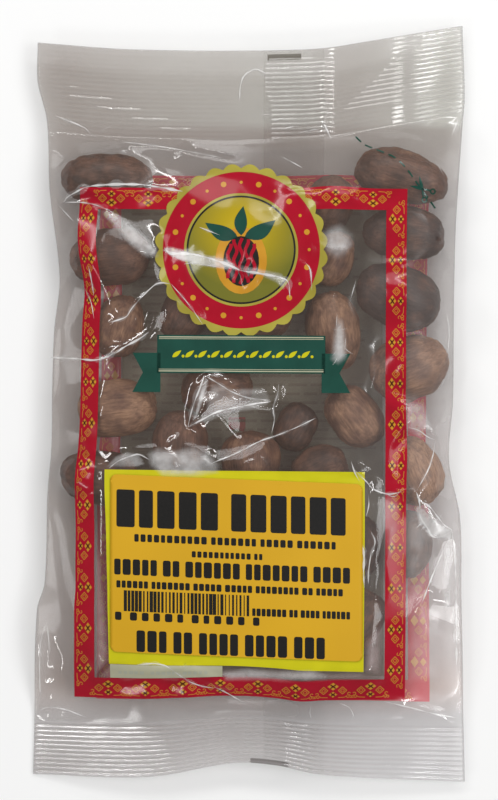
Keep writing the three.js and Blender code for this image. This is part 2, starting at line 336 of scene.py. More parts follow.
seal_cell = RIB_PITCH / ROWS_PER_RIB
body_start = -PACK_LENGTH / 2 + BOTTOM_SEAL
body_end = PACK_LENGTH / 2 - TOP_SEAL
columns = np.linspace(-PACK_WIDTH / 2, PACK_WIDTH / 2, round(PACK_WIDTH / BODY_CELL) + 1)
rows = np.concatenate(
    [
        np.linspace(-PACK_LENGTH / 2, body_start, round(BOTTOM_SEAL / seal_cell), endpoint=False),
        np.linspace(body_start, body_end, round((body_end - body_start) / BODY_CELL), endpoint=False),
        np.linspace(body_end, PACK_LENGTH / 2, round(TOP_SEAL / seal_cell) + 1),
    ]
)
flat_p, flat_q = np.meshgrid(columns, rows)  # where each point lies on the film laid flat


def smooth_step(value, start, end):
    """0 up to `start`, 1 from `end` on, and a smooth rise between them."""
    t = np.clip((value - start) / (end - start), 0, 1)
    return t * t * (3 - 2 * t)


def plan_of(p, q):
    """Where a point of the flat film lies in plan, once the contents pull the outline in."""
    across, along = 2 * p / PACK_WIDTH, 2 * q / PACK_LENGTH
    end = np.where(q > 0, through_knots(TOP_EDGE, p), through_knots(BOTTOM_EDGE, p))
    share = np.where(q > 0, smooth_step(q, *TOP_FADE), np.abs(along) ** EDGE_PULL)
    y = q + share * (end - np.sign(q) * PACK_LENGTH / 2)
    side = np.where(p > 0, through_knots(RIGHT_EDGE, y), through_knots(LEFT_EDGE, y))
    x = p + np.abs(across) ** EDGE_PULL * (side - np.sign(p) * PACK_WIDTH / 2)
    for at_p, at_q, reach_p, reach_q, shift_x, shift_y in SLIPS:
        near = np.exp(-(((p - at_p) / reach_p) ** 2) - ((q - at_q) / reach_q) ** 2)
        x, y = x + near * shift_x, y + near * shift_y
    return x, y


def on_film(x, y):
    """The place on the flat film that lies at (x, y) in plan."""
    p, q = np.array(x, float), np.array(y, float)
    for _ in range(6):
        at_x, at_y = plan_of(p, q)
        p, q = p + x - at_x, q + y - at_y
    return p, q


plan_x, plan_y = plan_of(flat_p, flat_q)
middle_x = (plan_x.min() + plan_x.max()) / 2
middle_y = (plan_y.min() + plan_y.max()) / 2
in_seal = (flat_q > body_end - HAIR) | (flat_q < body_start + HAIR)
at_side = (np.abs(flat_p) > PACK_WIDTH / 2 - HAIR) & ~in_seal
print("film grid", flat_p.shape, "centre of outline", round(middle_x, 2), round(middle_y, 2))

# %% Heights that hold the film up or down
LABEL_SIZE = (70.3, 49.4)
LABEL_CENTRE = (-3.1, -45.5)
LABEL_TURN = -2.3  # of its rows; its sides stay upright
LABEL_CREST = 18.8
LABEL_DROP = (1.6, 0.7)  # across, along
LABEL_RIPPLE = 0.16
LABEL_MARGIN = 3.0  # of film round the sticker that is as stiff as the sticker
REST_SIZE = (74.0, 132.0)  # of the patch of the back that touches the table
REST_CORNER = 20.0
REST_CENTRE_Y = -3.0


def turned(x, y, centre, turn):
    """Coordinates along and across something turned by `turn` degrees about its centre."""
    c, s = math.cos(math.radians(turn)), math.sin(math.radians(turn))
    dx, dy = x - centre[0], y - centre[1]
    return dx * c + dy * s, dy * c - dx * s


def label_place(u, v):
    """Where a point of the label lies in plan: its rows are turned, its sides are not."""
    turn = math.radians(LABEL_TURN)
    return LABEL_CENTRE[0] + u * math.cos(turn), LABEL_CENTRE[1] + u * math.sin(turn) + v


def on_label(x, y):
    u = (x - LABEL_CENTRE[0]) / math.cos(math.radians(LABEL_TURN))
    return u, y - LABEL_CENTRE[1] - u * math.sin(math.radians(LABEL_TURN))


def label_dome(x, y):
    u, v = on_label(x, y)
    dome = LABEL_CREST - LABEL_DROP[0] * (2 * u / LABEL_SIZE[0]) ** 2
    dome = dome - LABEL_DROP[1] * (2 * v / LABEL_SIZE[1]) ** 2
    return dome + LABEL_RIPPLE * np.sin(u / 7.1 + 0.6) * np.cos(v / 8.3 - 0.4)


label_u, label_v = on_label(plan_x, plan_y)
beyond_label = np.maximum(np.abs(label_u) - LABEL_SIZE[0] / 2, np.abs(label_v) - LABEL_SIZE[1] / 2)

nut_top = np.zeros_like(plan_x)
nut_bottom = np.full_like(plan_x, np.inf)
for cx, cy, length, width, turn, lift, _ in NUTMEGS:
    u, v = turned(plan_x, plan_y, (cx, cy), turn)
    inside = 1 - (2 * u / length) ** 2 - (2 * v / width) ** 2
    half = 0.5 * width * NUT_FLATNESS * np.sqrt(np.maximum(inside, 0))
    centre = 0.5 * width * NUT_FLATNESS + TABLE_GAP + FILM_GAP + lift
    nut_top = np.where(inside > 0, np.maximum(nut_top, centre + half + FILM_GAP), nut_top)
    nut_bottom = np.where(inside > 0, np.minimum(nut_bottom, centre - half - FILM_GAP), nut_bottom)
rest_x = np.maximum(np.abs(plan_x) - REST_SIZE[0] / 2 + REST_CORNER, 0)
rest_y = np.maximum(np.abs(plan_y - REST_CENTRE_Y) - REST_SIZE[1] / 2 + REST_CORNER, 0)
resting = np.hypot(rest_x, rest_y) <= REST_CORNER
back_ceiling = np.where(resting, TABLE_GAP, np.maximum(nut_bottom, TABLE_GAP))

seal_knots = [through_knots(knots, flat_p) for knots in (TOP_SEAL_HEIGHT, BOTTOM_SEAL_HEIGHT)]
seal_height = np.where(flat_q > 0, *seal_knots)
from_seal = np.minimum(body_end - flat_q, flat_q - body_start)
edge_height = seal_height + smooth_step(from_seal, 0, TOP_SEAL) * (SIDE_HEIGHT - seal_height)
print("nutmegs reach %.1f mm, the top seal rises to %.1f mm" % (nut_top.max(), seal_height.max()))

# %% Settle the two membranes
SWEEPS = 700
OVER_RELAXATION = 1.93
SAG = 0.008  # how strongly the slack film curves down between the nutmegs, per millimetre


def around(height):
    """The sum of each inner point's four neighbours."""
    return height[:-2, 1:-1] + height[2:, 1:-1] + height[1:-1, :-2] + height[1:-1, 2:]


def settle(height, free, low, high, load):
    """Relaxes the free points of a membrane between its lowest and highest allowed heights."""
    height = height.copy()
    odd = (np.add.outer(np.arange(len(rows)), np.arange(len(columns))) % 2).astype(bool)
    inner = (slice(1, -1), slice(1, -1))
    for _ in range(SWEEPS):
        for colour in (odd, ~odd):
            target = around(height) / 4 - load * BODY_CELL**2 / 4
            moved = height[inner] + OVER_RELAXATION * (target - height[inner])
            moved = np.clip(moved, low[inner], high[inner])
            height[inner] = np.where(colour[inner] & free[inner], moved, height[inner])
    return height


free = ~(in_seal | at_side)
under_label = beyond_label < LABEL_MARGIN
front_low = np.where(under_label, label_dome(plan_x, plan_y), nut_top)
front_high = np.where(under_label, front_low, np.inf)
start_front = np.where(free, np.maximum(front_low, edge_height), edge_height)
front_z = settle(start_front, free, front_low, front_high, SAG)
back_low = np.full_like(front_z, TABLE_GAP)
start_back = np.where(free, np.minimum(back_ceiling, edge_height), edge_height)
back_z = settle(start_back, free, back_low, back_ceiling, 0.0)
print("front film up to %.1f mm, back film down to %.2f mm" % (front_z.max(), back_z.min()))

# %% [markdown]
# ## Facets and creases
# Polypropylene film bends but doesn't stretch, so where it has to curve two ways at once it breaks into
# flat facets that meet in sharp creases. The settled membrane is therefore drawn again as an irregular net
# of triangles: its corners are scattered by a seeded random choice, and the larger creases of this pack are
# listed, as lines that the net must keep. Some facets, the glints, are tilted so that they mirror a
# light. Each corner is raised until no nutmeg pokes through, and the creases are then rounded slightly,
# because film has a least bend of its own. In calm places, where the contents hold the film tight, it
# stays the smooth membrane that it settled to.

# %% Creases and glints
# Points (x, y), height, and how far the flank reaches to the left and to the right of the line as drawn.
CREASES = [
    ([(-50.8, 56.6), (-49.9, 58.2), (-43.5, 61.0), (-32.4, 61.9), (-17.8, 59.9)], 1.2, 4.0, 2.2),
    ([(-52.3, 56.3), (-48.2, 51.5)], 0.7, 2.0, 2.4),
    ([(-34.9, 73.6), (-28.9, 73.2), (-12.5, 69.4), (0.4, 66.8)], 0.9, 2.4, 4.0),
    ([(-53.7, 81.2), (-45.0, 78.4)], 0.6, 2.0, 4.0),
    ([(58.8, 77.5), (52.8, 70.6), (52.0, 66.3)], 0.9, 4.0, 4.0),
    ([(22.6, 87.0), (23.2, 75.8), (26.4, 72.6)], 0.8, 2.0, 3.0),
    ([(10.4, 77.0), (22.8, 77.9)], 0.8, 2.0, 2.4),
    ([(-40.0, 53.9), (-36.6, 51.0), (-26.3, 46.2), (-25.4, 44.6)], 1.3, 5.0, 3.4),
    ([(-22.7, 43.6), (-13.4, 41.1), (-4.0, 39.0), (2.9, 37.1), (10.0, 36.4)], 1.3, 3.6, 2.4),
    ([(10.9, 37.7), (11.3, 31.8)], 0.9, 2.2, 2.4),
    ([(-38.3, 22.8), (-33.1, 24.7), (-25.5, 34.0), (-20.4, 33.5), (-11.3, 21.7)], 0.9, 2.0, 2.8),
    ([(-54.4, 13.4), (-47.8, 12.7), (-41.8, 12.8), (-34.0, 15.8), (-27.2, 20.2), (-24.2, 28.6)], 1.4, 2.4,
      3.2),
    ([(-16.2, -6.4), (-14.7, -1.4), (-12.2, 7.6), (-8.8, 7.1), (-1.9, 3.1), (7.0, 1.0)], 1.2, 3.0, 2.4),
    ([(9.3, 7.6), (7.4, -1.4)], 0.8, 2.2, 2.2),
    ([(-38.0, -16.6), (-31.0, -12.8), (-26.0, -12.9), (-20.4, -10.2), (-9.6, -13.8), (-2.0, -14.5)], 1.3,
      2.4, 3.0),
    ([(29.7, -15.7), (31.8, -20.4), (36.7, -24.0), (45.1, -24.1), (50.9, -13.4)], 1.2, 2.2, 2.2),
    ([(48.5, -27.2), (52.6, -31.2), (57.7, -35.2), (59.5, -47.0)], 1.4, 3.0, 4.0),
    ([(57.3, -36.4), (46.0, -59.8)], 0.9, 3.0, 2.0),
    ([(34.0, -38.4), (36.5, -47.0), (34.6, -52.6), (38.6, -54.6)], 0.9, 2.6, 2.6),
    ([(-33.8, -75.2), (-16.0, -73.0), (-9.5, -77.0), (-2.0, -79.8), (3.0, -79.0)], 1.1, 2.2, 3.2),
    ([(-9.0, -83.6), (2.0, -84.9), (7.2, -83.4)], 0.9, 3.2, 2.0),
    ([(34.0, -82.0), (44.0, -84.5), (58.0, -88.4)], 0.7, 2.0, 4.0),
    ([(-58.6, -83.8), (-55.0, -65.0)], 0.9, 2.0, 2.0),
    ([(-53.6, -68.0), (-56.2, -88.0)], 0.9, 2.0, 2.0),
]
# Flat facets that lie just right to mirror a light: its kind, corners in plan, height over the membrane.
GLINTS = [
    ("strip", [(-44.2, 60.6), (-40.9, 61.5), (-35.8, 61.7), (-29.1, 61.6), (-22.4, 60.6), (-17.4, 59.5),
      (-23.0, 59.5), (-29.1, 60.3), (-35.8, 60.5), (-40.9, 60.3)], 0.7),
    ("soft", [(-38.6, 55.3), (-35.3, 53.6), (-30.8, 51.1), (-25.8, 46.9), (-24.9, 43.0), (-27.4, 41.9),
      (-31.4, 44.4), (-36.4, 49.7)], 0.4),
    ("strip", [(-23.2, 44.1), (-19.0, 43.0), (-14.6, 42.7), (-10.4, 41.3), (-10.6, 39.3), (-15.1, 40.2),
      (-19.6, 40.5), (-23.0, 41.0)], 0.8),
    ("strip", [(-10.4, 41.3), (-6.2, 40.2), (-1.7, 38.5), (-2.0, 36.3), (-6.7, 37.4), (-10.6, 39.3)], 0.8),
    ("strip", [(-1.1, 37.9), (4.5, 37.4), (11.5, 35.4), (11.5, 33.5), (7.3, 34.3), (1.7, 35.7)], 0.8),
    ("strip", [(14.8, 39.6), (17.4, 39.1), (17.9, 31.2), (15.7, 29.5)], 0.4),
    ("soft", [(-14.6, -4.4), (-9.0, -1.6), (0.0, 0.4), (6.2, 1.3), (0.0, 2.4), (-6.2, 2.4), (-11.2, 0.4)],
      0.4),
    ("strip", [(-27.4, -15.3), (-23.5, -12.5), (-19.6, -11.6), (-18.5, -15.3), (-19.6, -18.6),
      (-24.6, -18.6)], 0.6),
    ("strip", [(-19.6, -11.6), (-14.6, -12.5), (-9.5, -15.0), (-10.6, -17.8), (-15.1, -18.9),
      (-19.6, -18.6), (-18.5, -15.3)], 0.6),
    ("soft", [(-9.0, -12.8), (-1.4, -10.8), (6.2, -9.1), (3.4, -13.6), (-2.8, -16.7), (-9.2, -17.5)], 0.4),
    ("strip", [(47.6, -25.9), (50.4, -28.2), (52.9, -31.0), (54.9, -33.8), (57.1, -35.1), (54.3, -37.1),
      (51.5, -36.8), (48.4, -32.1)], 0.6),
    ("soft", [(54.6, -38.2), (57.4, -36.6), (58.0, -43.8), (56.6, -50.8), (53.2, -52.8), (52.1, -46.6)],
      0.4),
    ("strip", [(33.6, -25.1), (37.2, -24.8), (37.0, -27.9), (33.9, -28.4)], 0.5),
    ("strip", [(34.2, -35.4), (36.1, -34.9), (36.7, -39.9), (34.7, -41.0)], 0.5),
    ("strip", [(31.1, -41.6), (33.0, -41.0), (33.3, -47.8), (31.4, -50.6)], 0.5),
    ("soft", [(44.0, -6.9), (47.6, -6.3), (51.5, -8.0), (50.4, -9.7), (45.4, -9.4)], 0.4),
    ("strip", [(-34.4, 73.8), (-28.0, 73.5), (-20.2, 72.4), (-20.2, 71.2), (-28.0, 71.8), (-34.2, 72.4)],
      0.3),
    ("strip", [(-34.2, -78.0), (-29.1, -77.4), (-27.4, -80.8), (-32.5, -82.5)], 0.3),
    ("strip", [(-21.8, -77.4), (-19.0, -78.6), (-16.8, -81.4), (-19.6, -82.2), (-22.1, -80.2)], 0.3),
]
# Smooth, tight places: centre and half widths.
CALM = [
    (22.0, 67.5, 26.0, 8.5),
    (44.0, 63.0, 14.0, 10.5),
    (40.5, 47.0, 12.5, 8.5),
    (26.0, 50.0, 9.0, 7.0),
    (41.5, 29.5, 14.0, 11.0),
    (46.0, 10.5, 12.0, 10.5),
    (47.0, -15.0, 7.0, 9.0),
    (45.0, -41.0, 7.5, 13.0),
    (31.0, 11.0, 5.0, 7.0),
    (52.0, -74.0, 8.0, 11.0),
    (-38.0, 65.0, 12.0, 6.0),
]
random = np.random.default_rng(7)
print(len(CREASES), "creases,", len(GLINTS), "glints and", len(CALM), "calm places")

# %% Helpers for lines and places
GLINT_REACH = 3.0  # how far to each side the membrane's own slope is read


def spaced_line(points, step):
    """A polyline with extra points, so that no piece is longer than `step`."""
    line = [np.array(points[0], float)]
    for a, b in zip(points[:-1], points[1:]):
        a, b = np.array(a, float), np.array(b, float)
        pieces = max(int(math.ceil(np.hypot(*(b - a)) / step)), 1)
        line += [a + (b - a) * k / pieces for k in range(1, pieces + 1)]
    return np.array(line)


def nearest_point(x, y):
    """The index of the point of the film's grid that is nearest to a place in plan."""
    return np.argmin((plan_x - x) ** 2 + (plan_y - y) ** 2)


def base_height(x, y):
    """The settled membrane's height at a place in plan."""
    return front_z.flat[nearest_point(x, y)]


def mirror_slope(x, y, light):
    """The slope across and along that mirrors a light into the camera from a place in plan."""
    _, azimuth, elevation, distance, _, _, _ = light
    lamp = np.array(light_place(azimuth, elevation, distance / MM))
    eye = np.array([*VIEW_CENTRE, CAMERA_HEIGHT])
    here = np.array([x, y, FILM_HEIGHT])
    between = sum((there - here) / np.linalg.norm(there - here) for there in (lamp, eye))
    return -between[0] / between[2], -between[1] / between[2]


def glint_plane(outline, kind):
    """The height and slope of a glint facet: of the lights of its kind, the one that is easiest to mirror."""
    x, y = np.mean(outline, axis=0)
    own = [
        (base_height(x + dx, y + dy) - base_height(x - dx, y - dy)) / (2 * GLINT_REACH)
        for dx, dy in ((GLINT_REACH, 0), (0, GLINT_REACH))
    ]
    slopes = [mirror_slope(x, y, light) for light in LIGHTS if light[0].startswith(kind)]
    best = min(slopes, key=lambda slope: math.hypot(slope[0] - own[0], slope[1] - own[1]))
    return x, y, base_height(x, y), best


def within(x, y, outline, margin):
    """Whether a place is inside a convex-ish outline, or near its corners."""
    inside = False
    for (ax, ay), (bx, by) in zip(outline, outline[1:] + outline[:1]):
        if (ay > y) != (by > y) and x < ax + (y - ay) * (bx - ax) / (by - ay):
            inside = not inside
    return inside or any(math.hypot(x - ax, y - ay) < margin for ax, ay in outline)


def in_glint(x, y, margin):
    return any(within(x, y, outline, margin) for _, outline, _ in GLINTS)


def inside_body(x, y, margin):
    """Whether a place is clear of the sides, the seals and the sticker."""
    nearest = nearest_point(x, y)
    p, q = flat_p.flat[nearest], flat_q.flat[nearest]
    clear = beyond_label.flat[nearest] > LABEL_MARGIN + margin
    return clear and abs(p) < PACK_WIDTH / 2 - margin and body_start + margin < q < body_end - margin


print("the film over the first nutmeg is %.1f mm up" % base_height(*NUTMEGS[0][:2]))

# %% Corners of the net
CREASE_STEP = 6.0  # longest piece of a crease between two corners of the net
CREASE_CLEAR, FLANK_CLEAR = 1.5, 1.4  # least distance of a crease from a glint, and between flank corners
CREASE_END = 0.25  # a crease's height at its ends, as a share of its height
RIM_STEP = 7.0  # between corners round the sticker
SIDE_STEP = 7  # rows of the grid between corners along the sides
FACET_SIZE = 9.0  # least distance between scattered corners
SEAL_REACH, SEAL_SHARE = 14.0, 0.62  # near a seal the facets are smaller
CLOSE_SHARE, CLOSE_CHANCE = 0.62, 0.02  # a few corners may stand closer together
FACET_JITTER = 0.26
FACET_TRIES = 9000


def net_corners():
    """Corners of the facet net: place and height; its group, which is -1 where it is fixed; kept edges."""
    corners, kept = [], []

    def add(x, y, z, group):
        corners.append((x, y, z, group))
        return len(corners) - 1

    for index, (kind, outline, lift) in enumerate(GLINTS):
        x, y, z, slope = glint_plane(outline, kind)
        loop = [add(a, b, z + lift + slope[0] * (a - x) + slope[1] * (b - y), index + 1) for a, b in outline]
        kept += list(zip(loop, loop[1:] + loop[:1]))
    for points, height, left, right in CREASES:
        line = spaced_line(points, CREASE_STEP)
        previous = None
        for k, (x, y) in enumerate(line):
            end = k in (0, len(line) - 1)
            if in_glint(x, y, CREASE_CLEAR):
                previous = None
                continue
            this = add(x, y, base_height(x, y) + height * (CREASE_END if end else 1.0), 0)
            if previous is not None:
                kept.append((previous, this))
            previous = this
        for a, b in zip(line[:-1], line[1:]):
            ahead = (b - a) / np.hypot(*(b - a))
            for reach in (left, -right):
                x, y = (a + b) / 2 + reach * np.array([-ahead[1], ahead[0]])
                clear = not in_glint(x, y, CREASE_CLEAR) and inside_body(x, y, 1.0)
                if clear and all(math.hypot(x - c[0], y - c[1]) > FLANK_CLEAR for c in corners):
                    add(x, y, base_height(x, y), 0)
    for side in (0, -1):
        for row in range(0, len(rows), SIDE_STEP):
            if body_start <= rows[row] <= body_end:
                add(plan_x[row, side], plan_y[row, side], edge_height[row, side], -1)
    for seal_row in np.searchsorted(rows, [body_start - HAIR, body_end - HAIR]):
        column = 0
        while column < len(columns):
            add(plan_x[seal_row, column], plan_y[seal_row, column], edge_height[seal_row, column], -1)
            column += int(random.integers(4, 9))
        add(plan_x[seal_row, -1] + 0.01, plan_y[seal_row, -1], edge_height[seal_row, -1], -1)
    w, h = LABEL_SIZE[0] / 2 + LABEL_MARGIN, LABEL_SIZE[1] / 2 + LABEL_MARGIN
    rim = spaced_line([(-w, -h), (w, -h), (w, h), (-w, h), (-w, -h)], RIM_STEP)[:-1]
    for u, v in rim:
        x, y = label_place(u, v)
        add(x, y, float(label_dome(x, y)), -1)
    for x, y in random.uniform((-60, -92), (60, 82), (FACET_TRIES, 2)):
        near_seal = min(abs(y - body_end), abs(y - body_start)) < SEAL_REACH
        size = FACET_SIZE * (SEAL_SHARE if near_seal else 1.0)
        near = min(math.hypot(x - c[0], y - c[1]) for c in corners)
        if near > size * CLOSE_SHARE and inside_body(x, y, 3.0):
            if not in_glint(x, y, 2.5) and (near > size or random.random() < CLOSE_CHANCE):
                add(x, y, base_height(x, y) + random.normal(0, FACET_JITTER), 0)
    return np.array([c[:3] for c in corners]), np.array([c[3] for c in corners]), kept


places, group, kept = net_corners()
print("net of", len(places), "corners with", len(kept), "kept edges")

# %% Triangulate the net and raise it over the nutmegs
MOST_PUSH, GLINT_PUSH = 1.4, 3.2  # how far a corner of the net, or of a glint, may be raised over a nutmeg
PUSHES = 12


def locate(places, kept):
    """Triangulates the net and finds, for each grid point, its triangle's corners and shares."""
    flat = [Vector((float(x), float(y))) for x, y in places]
    verts, _, faces, origins, _, _ = delaunay_2d_cdt(flat, kept, [], 0, 1e-4)
    nearest = [int(np.argmin(np.hypot(*(places - np.array(v)).T))) for v in verts]
    source = [o[0] if o else n for o, n in zip(origins, nearest)]
    corner = np.full(plan_x.shape + (3,), -1)
    share = np.zeros(plan_x.shape + (3,))
    for face in faces:
        a, b, c = (np.array(verts[v]) for v in face)
        low, high = np.minimum(np.minimum(a, b), c) - 0.01, np.maximum(np.maximum(a, b), c) + 0.01
        near = (plan_x >= low[0]) & (plan_x <= high[0]) & (plan_y >= low[1]) & (plan_y <= high[1])
        x, y = plan_x[near], plan_y[near]
        area = (b[0] - a[0]) * (c[1] - a[1]) - (b[1] - a[1]) * (c[0] - a[0])
        if abs(area) < HAIR:
            continue
        wb = ((x - a[0]) * (c[1] - a[1]) - (y - a[1]) * (c[0] - a[0])) / area
        wc = ((b[0] - a[0]) * (y - a[1]) - (b[1] - a[1]) * (x - a[0])) / area
        wa = 1 - wb - wc
        hit = (wa > -1e-3) & (wb > -1e-3) & (wc > -1e-3)
        rows_at, columns_at = np.nonzero(near)
        corner[rows_at[hit], columns_at[hit]] = [source[v] for v in face]
        share[rows_at[hit], columns_at[hit]] = np.stack([wa, wb, wc], 1)[hit]
    return corner, share


corner, share = locate(places[:, :2], kept)
covered = corner[..., 0] >= 0
net_z = places[:, 2].copy()
for _ in range(PUSHES):
    facet_z = (net_z[corner] * share).sum(-1)
    short = np.where(covered & (from_seal > 1) & ~under_label, nut_top - facet_z, 0)
    push = np.zeros(len(net_z))
    for k in range(3):
        np.maximum.at(push, corner[..., k][short > 0.05], (short * share[..., k])[short > 0.05])
    for index in range(1, len(GLINTS) + 1):
        push[group == index] = push[group == index].max()
    most = np.where(group > 0, GLINT_PUSH, MOST_PUSH)
    net_z = np.where(group >= 0, np.minimum(net_z + push, places[:, 2] + most), net_z)
facet_z = (net_z[corner] * share).sum(-1)
print("least clearance %.2f mm" % -short.max())

# %% Round the creases and smooth the calm places
ROUNDING, SOFTENING = 2, 9  # passes of smoothing over the creases, and away from them
CREASE_REACH = 3.0
KEPT_SHARP = 0.15  # how much of a scattered facet's sharpness is left
FINE_RIPPLE = 0.013
MOST_DIP = 0.15  # how far rounding may bring the film into its gap over a nutmeg


def wave_sum(x, y, wavelengths, spread, angle=0.0):
    """A sum of sines that run roughly across `angle` degrees, with seeded phases."""
    total = np.zeros_like(x)
    for wavelength in wavelengths:
        turn = math.radians(angle + random.uniform(-spread, spread))
        phase = random.uniform(0, 2 * math.pi)
        total += np.sin(2 * math.pi * (x * math.cos(turn) + y * math.sin(turn)) / wavelength + phase)
    return total / math.sqrt(len(wavelengths))


def rounded(height, passes):
    """A height field after some passes of averaging with the four neighbours."""
    height = height.copy()
    for _ in range(passes):
        height[1:-1, 1:-1] = 0.5 * height[1:-1, 1:-1] + 0.125 * around(height)
    return height


def near_creases(x, y):
    """1 on the listed creases and facets, fading to 0 away from them."""
    gap = np.full_like(x, np.inf)
    lines = [points for points, _, _, _ in CREASES] + [outline + outline[:1] for _, outline, _ in GLINTS]
    for line in lines:
        for a, b in spaced_line(line, 1.2):
            gap = np.minimum(gap, np.hypot(x - a, y - b))
    return np.exp(-((gap / CREASE_REACH) ** 2))


def calm_at(x, y):
    """1 in the middle of a calm place, fading to 0 at its rim."""
    reach = [np.hypot((x - cx) / wide, (y - cy) / tall) for cx, cy, wide, tall in CALM]
    return smooth_step(1.15 - np.minimum.reduce(reach), 0, 0.45)


in_net = covered & free & ~under_label
faceted = np.where(in_net, facet_z, front_z)
fine = FINE_RIPPLE * wave_sum(plan_x, plan_y, [5.1, 6.3, 7.9, 4.4], 90) * in_net
faceted = rounded(faceted + fine, ROUNDING)
softened = rounded(faceted, SOFTENING)
sharpness = KEPT_SHARP + (1 - KEPT_SHARP) * near_creases(plan_x, plan_y)
faceted = softened + (faceted - softened) * sharpness
faceted += calm_at(plan_x, plan_y) * (front_z - faceted)
faceted = np.where(free & ~under_label, faceted, front_z)
front_z = np.where(free & ~under_label, np.maximum(faceted, nut_top - MOST_DIP), faceted)
print("film up to %.1f mm" % front_z.max())

# %% Ribs of the end seals
ARCH_CENTRE, ARCH_WIDTH, ARCH_TOP = 2.3, 8.6, 94.5  # of the smooth place in the top seal
FAINT_RIB, DEEP_RIB = 0.05, 0.30
SEAL_BEND, BACK_RIPPLE = 0.09, 0.25
PUFF = 0.3  # how much the film stands up from its side folds


def crimp_depth(x, y, number):
    """0 where the jaws left faint ribs and 1 where they bit deepest; the ribs are numbered from the body."""
    corner = smooth_step(0.96 * (x - 30) - (y - 86.4), -0.8, 0.8)
    corner = corner * smooth_step(y - 83.2 - 0.15 * (x - 30), -1.5, 1)
    middle = 0.8 * smooth_step(x, 4, 7) * smooth_step(23.5 - x, 0, 3) * smooth_step(99 - y, 0, 4)
    off_line = y - 91.5 + 0.353 * (x + 58.5)
    streak = 0.9 * np.exp(-((off_line / 1.6) ** 2)) * smooth_step(-14 - x, 0, 4) * smooth_step(x, -53, -48)
    streak = np.where(number % 2 == 0, streak, 0)
    foot = 0.9 * smooth_step(-14 - x, -4, 14) + 0.95 * np.exp(-(((x - 14) / 6) ** 2))
    foot = foot + 0.35 * smooth_step(x, 20, 30)
    return np.clip(np.where(y > 0, 0.42 * corner + middle + streak, foot), 0, 1)


past_end = np.where(flat_q > 0, flat_q - body_end, body_start - flat_q)
rib_phase = 2 * math.pi * past_end / RIB_PITCH + math.pi / 4
in_arch = (flat_q < ARCH_TOP) & (flat_q > 0)
arch_half = ARCH_WIDTH / 2 * np.sqrt(np.clip((ARCH_TOP - flat_q) / 4.0, 0, 1))
rib_here = 1 - smooth_step(arch_half - np.abs(flat_p - ARCH_CENTRE), -0.4, 0.6) * in_arch
bite = crimp_depth(plan_x, plan_y, np.floor(rib_phase / (2 * math.pi)))
ridge = np.sin(rib_phase) * rib_here * in_seal
ribs = (FAINT_RIB + (DEEP_RIB - FAINT_RIB) * bite) * ridge
ribs *= 0.95 + 0.07 * wave_sum(plan_x, plan_y, [17.0, 11.0, 29.0], 90)
seal_bend = SEAL_BEND * wave_sum(plan_x, 0.3 * plan_y, [38.0, 23.0, 55.0], 20) * in_seal
inward = smooth_step(PACK_WIDTH / 2 - np.abs(flat_p), 0, 4.0)
front_z = front_z + ribs + seal_bend + np.where(in_seal, SEAL_GAP, 0)
front_z = front_z + PUFF * inward * ~in_seal * ~under_label
back_detail = BACK_RIPPLE * wave_sum(plan_x, plan_y, [33.0, 21.0, 27.0], 90) * ~resting * ~in_seal
back_z = back_z + inward * np.maximum(back_detail, 0)
back_z = back_z + ribs + seal_bend - np.where(in_seal, SEAL_GAP, 0)
back_z = np.maximum(back_z, TABLE_GAP)
print("ribs", round((TOP_SEAL + BOTTOM_SEAL) / RIB_PITCH))

# %% [markdown]
# ## The film as a mesh
#
# Front and back are one closed bag: they share the points of the outline. A class keeps each skin's grid,
# because the print is laid on the film later.

# %% A skin of film, and the bag


class Skin:
    """A grid of points in space over a flat sheet, with normals that point out of the pack."""

    def __init__(self, across, along, points, outward):
        self.across, self.along, self.points, self.outward = across, along, points, outward
        normals = np.cross(np.gradient(points, axis=1), np.gradient(points, axis=0)) * outward
        self.normals = normals / np.linalg.norm(normals, axis=2)[:, :, None]


def in_space(x, y, z):
    return np.stack([x - middle_x, y - middle_y, z], axis=-1) * MM


def grid_triangles(height, width):
    """The two triangles of each cell, each cell cut from its low corner to its high corner."""
    a = (np.arange(height - 1)[:, None] * width + np.arange(width - 1)[None, :]).ravel()
    b, c, d = a + 1, a + width + 1, a + width
    return np.stack([np.stack([a, b, c], 1), np.stack([a, c, d], 1)], 1).reshape(-1, 3)


front = Skin(columns, rows, in_space(plan_x, plan_y, front_z), 1)
back = Skin(columns, rows, in_space(plan_x, plan_y, back_z), -1)


def closed_bag(upper, lower):
    """Welds two skins along their outline and returns points and triangles that face out."""
    height, width = upper.shape[:2]
    count = height * width
    rim = np.zeros((height, width), bool)
    rim[[0, -1], :] = rim[:, [0, -1]] = True
    upper = upper.copy()
    upper[rim] = (upper[rim] + lower[rim]) / 2
    index = np.arange(count).reshape(height, width)
    below = np.full((height, width), -1)
    below[rim] = index[rim]
    below[~rim] = count + np.arange((~rim).sum())
    triangles = grid_triangles(height, width)
    under = below.ravel()[triangles][:, ::-1]
    points = np.concatenate([upper.reshape(-1, 3), lower[~rim]])
    return points, np.concatenate([triangles, under])


bag_points, bag_faces = closed_bag(front.points, back.points)
print("bag", len(bag_points), "points", len(bag_faces), "triangles")

# %% [markdown]
# The film is biaxially oriented polypropylene, about 40 micrometres thick and slightly milky from
# handling. It is almost clear, so its alpha is low. What light it scatters runs from a dark brown, which is
# painted shade, to a pale grey; a painted sheen makes it paler to the right and downwards, and a painted
# reflection of the red border makes it pink towards the bottom seal. The front and back skins share one mesh
# and differ in haze and gloss; the back skin's denser haze is painted shade too. Two numbers are stored on
# each point: one says how milky the film is there, with the painted sheen and the painted highlight and
# shade of the ribs added, and "dull" is 1 in the calm places, where the tight film has been rubbed and its
# gloss is blunt and weak.

# %% Film material
TWO_TONE = {"data_type": "RGBA"}
SUM = {"operation": "MULTIPLY_ADD"}
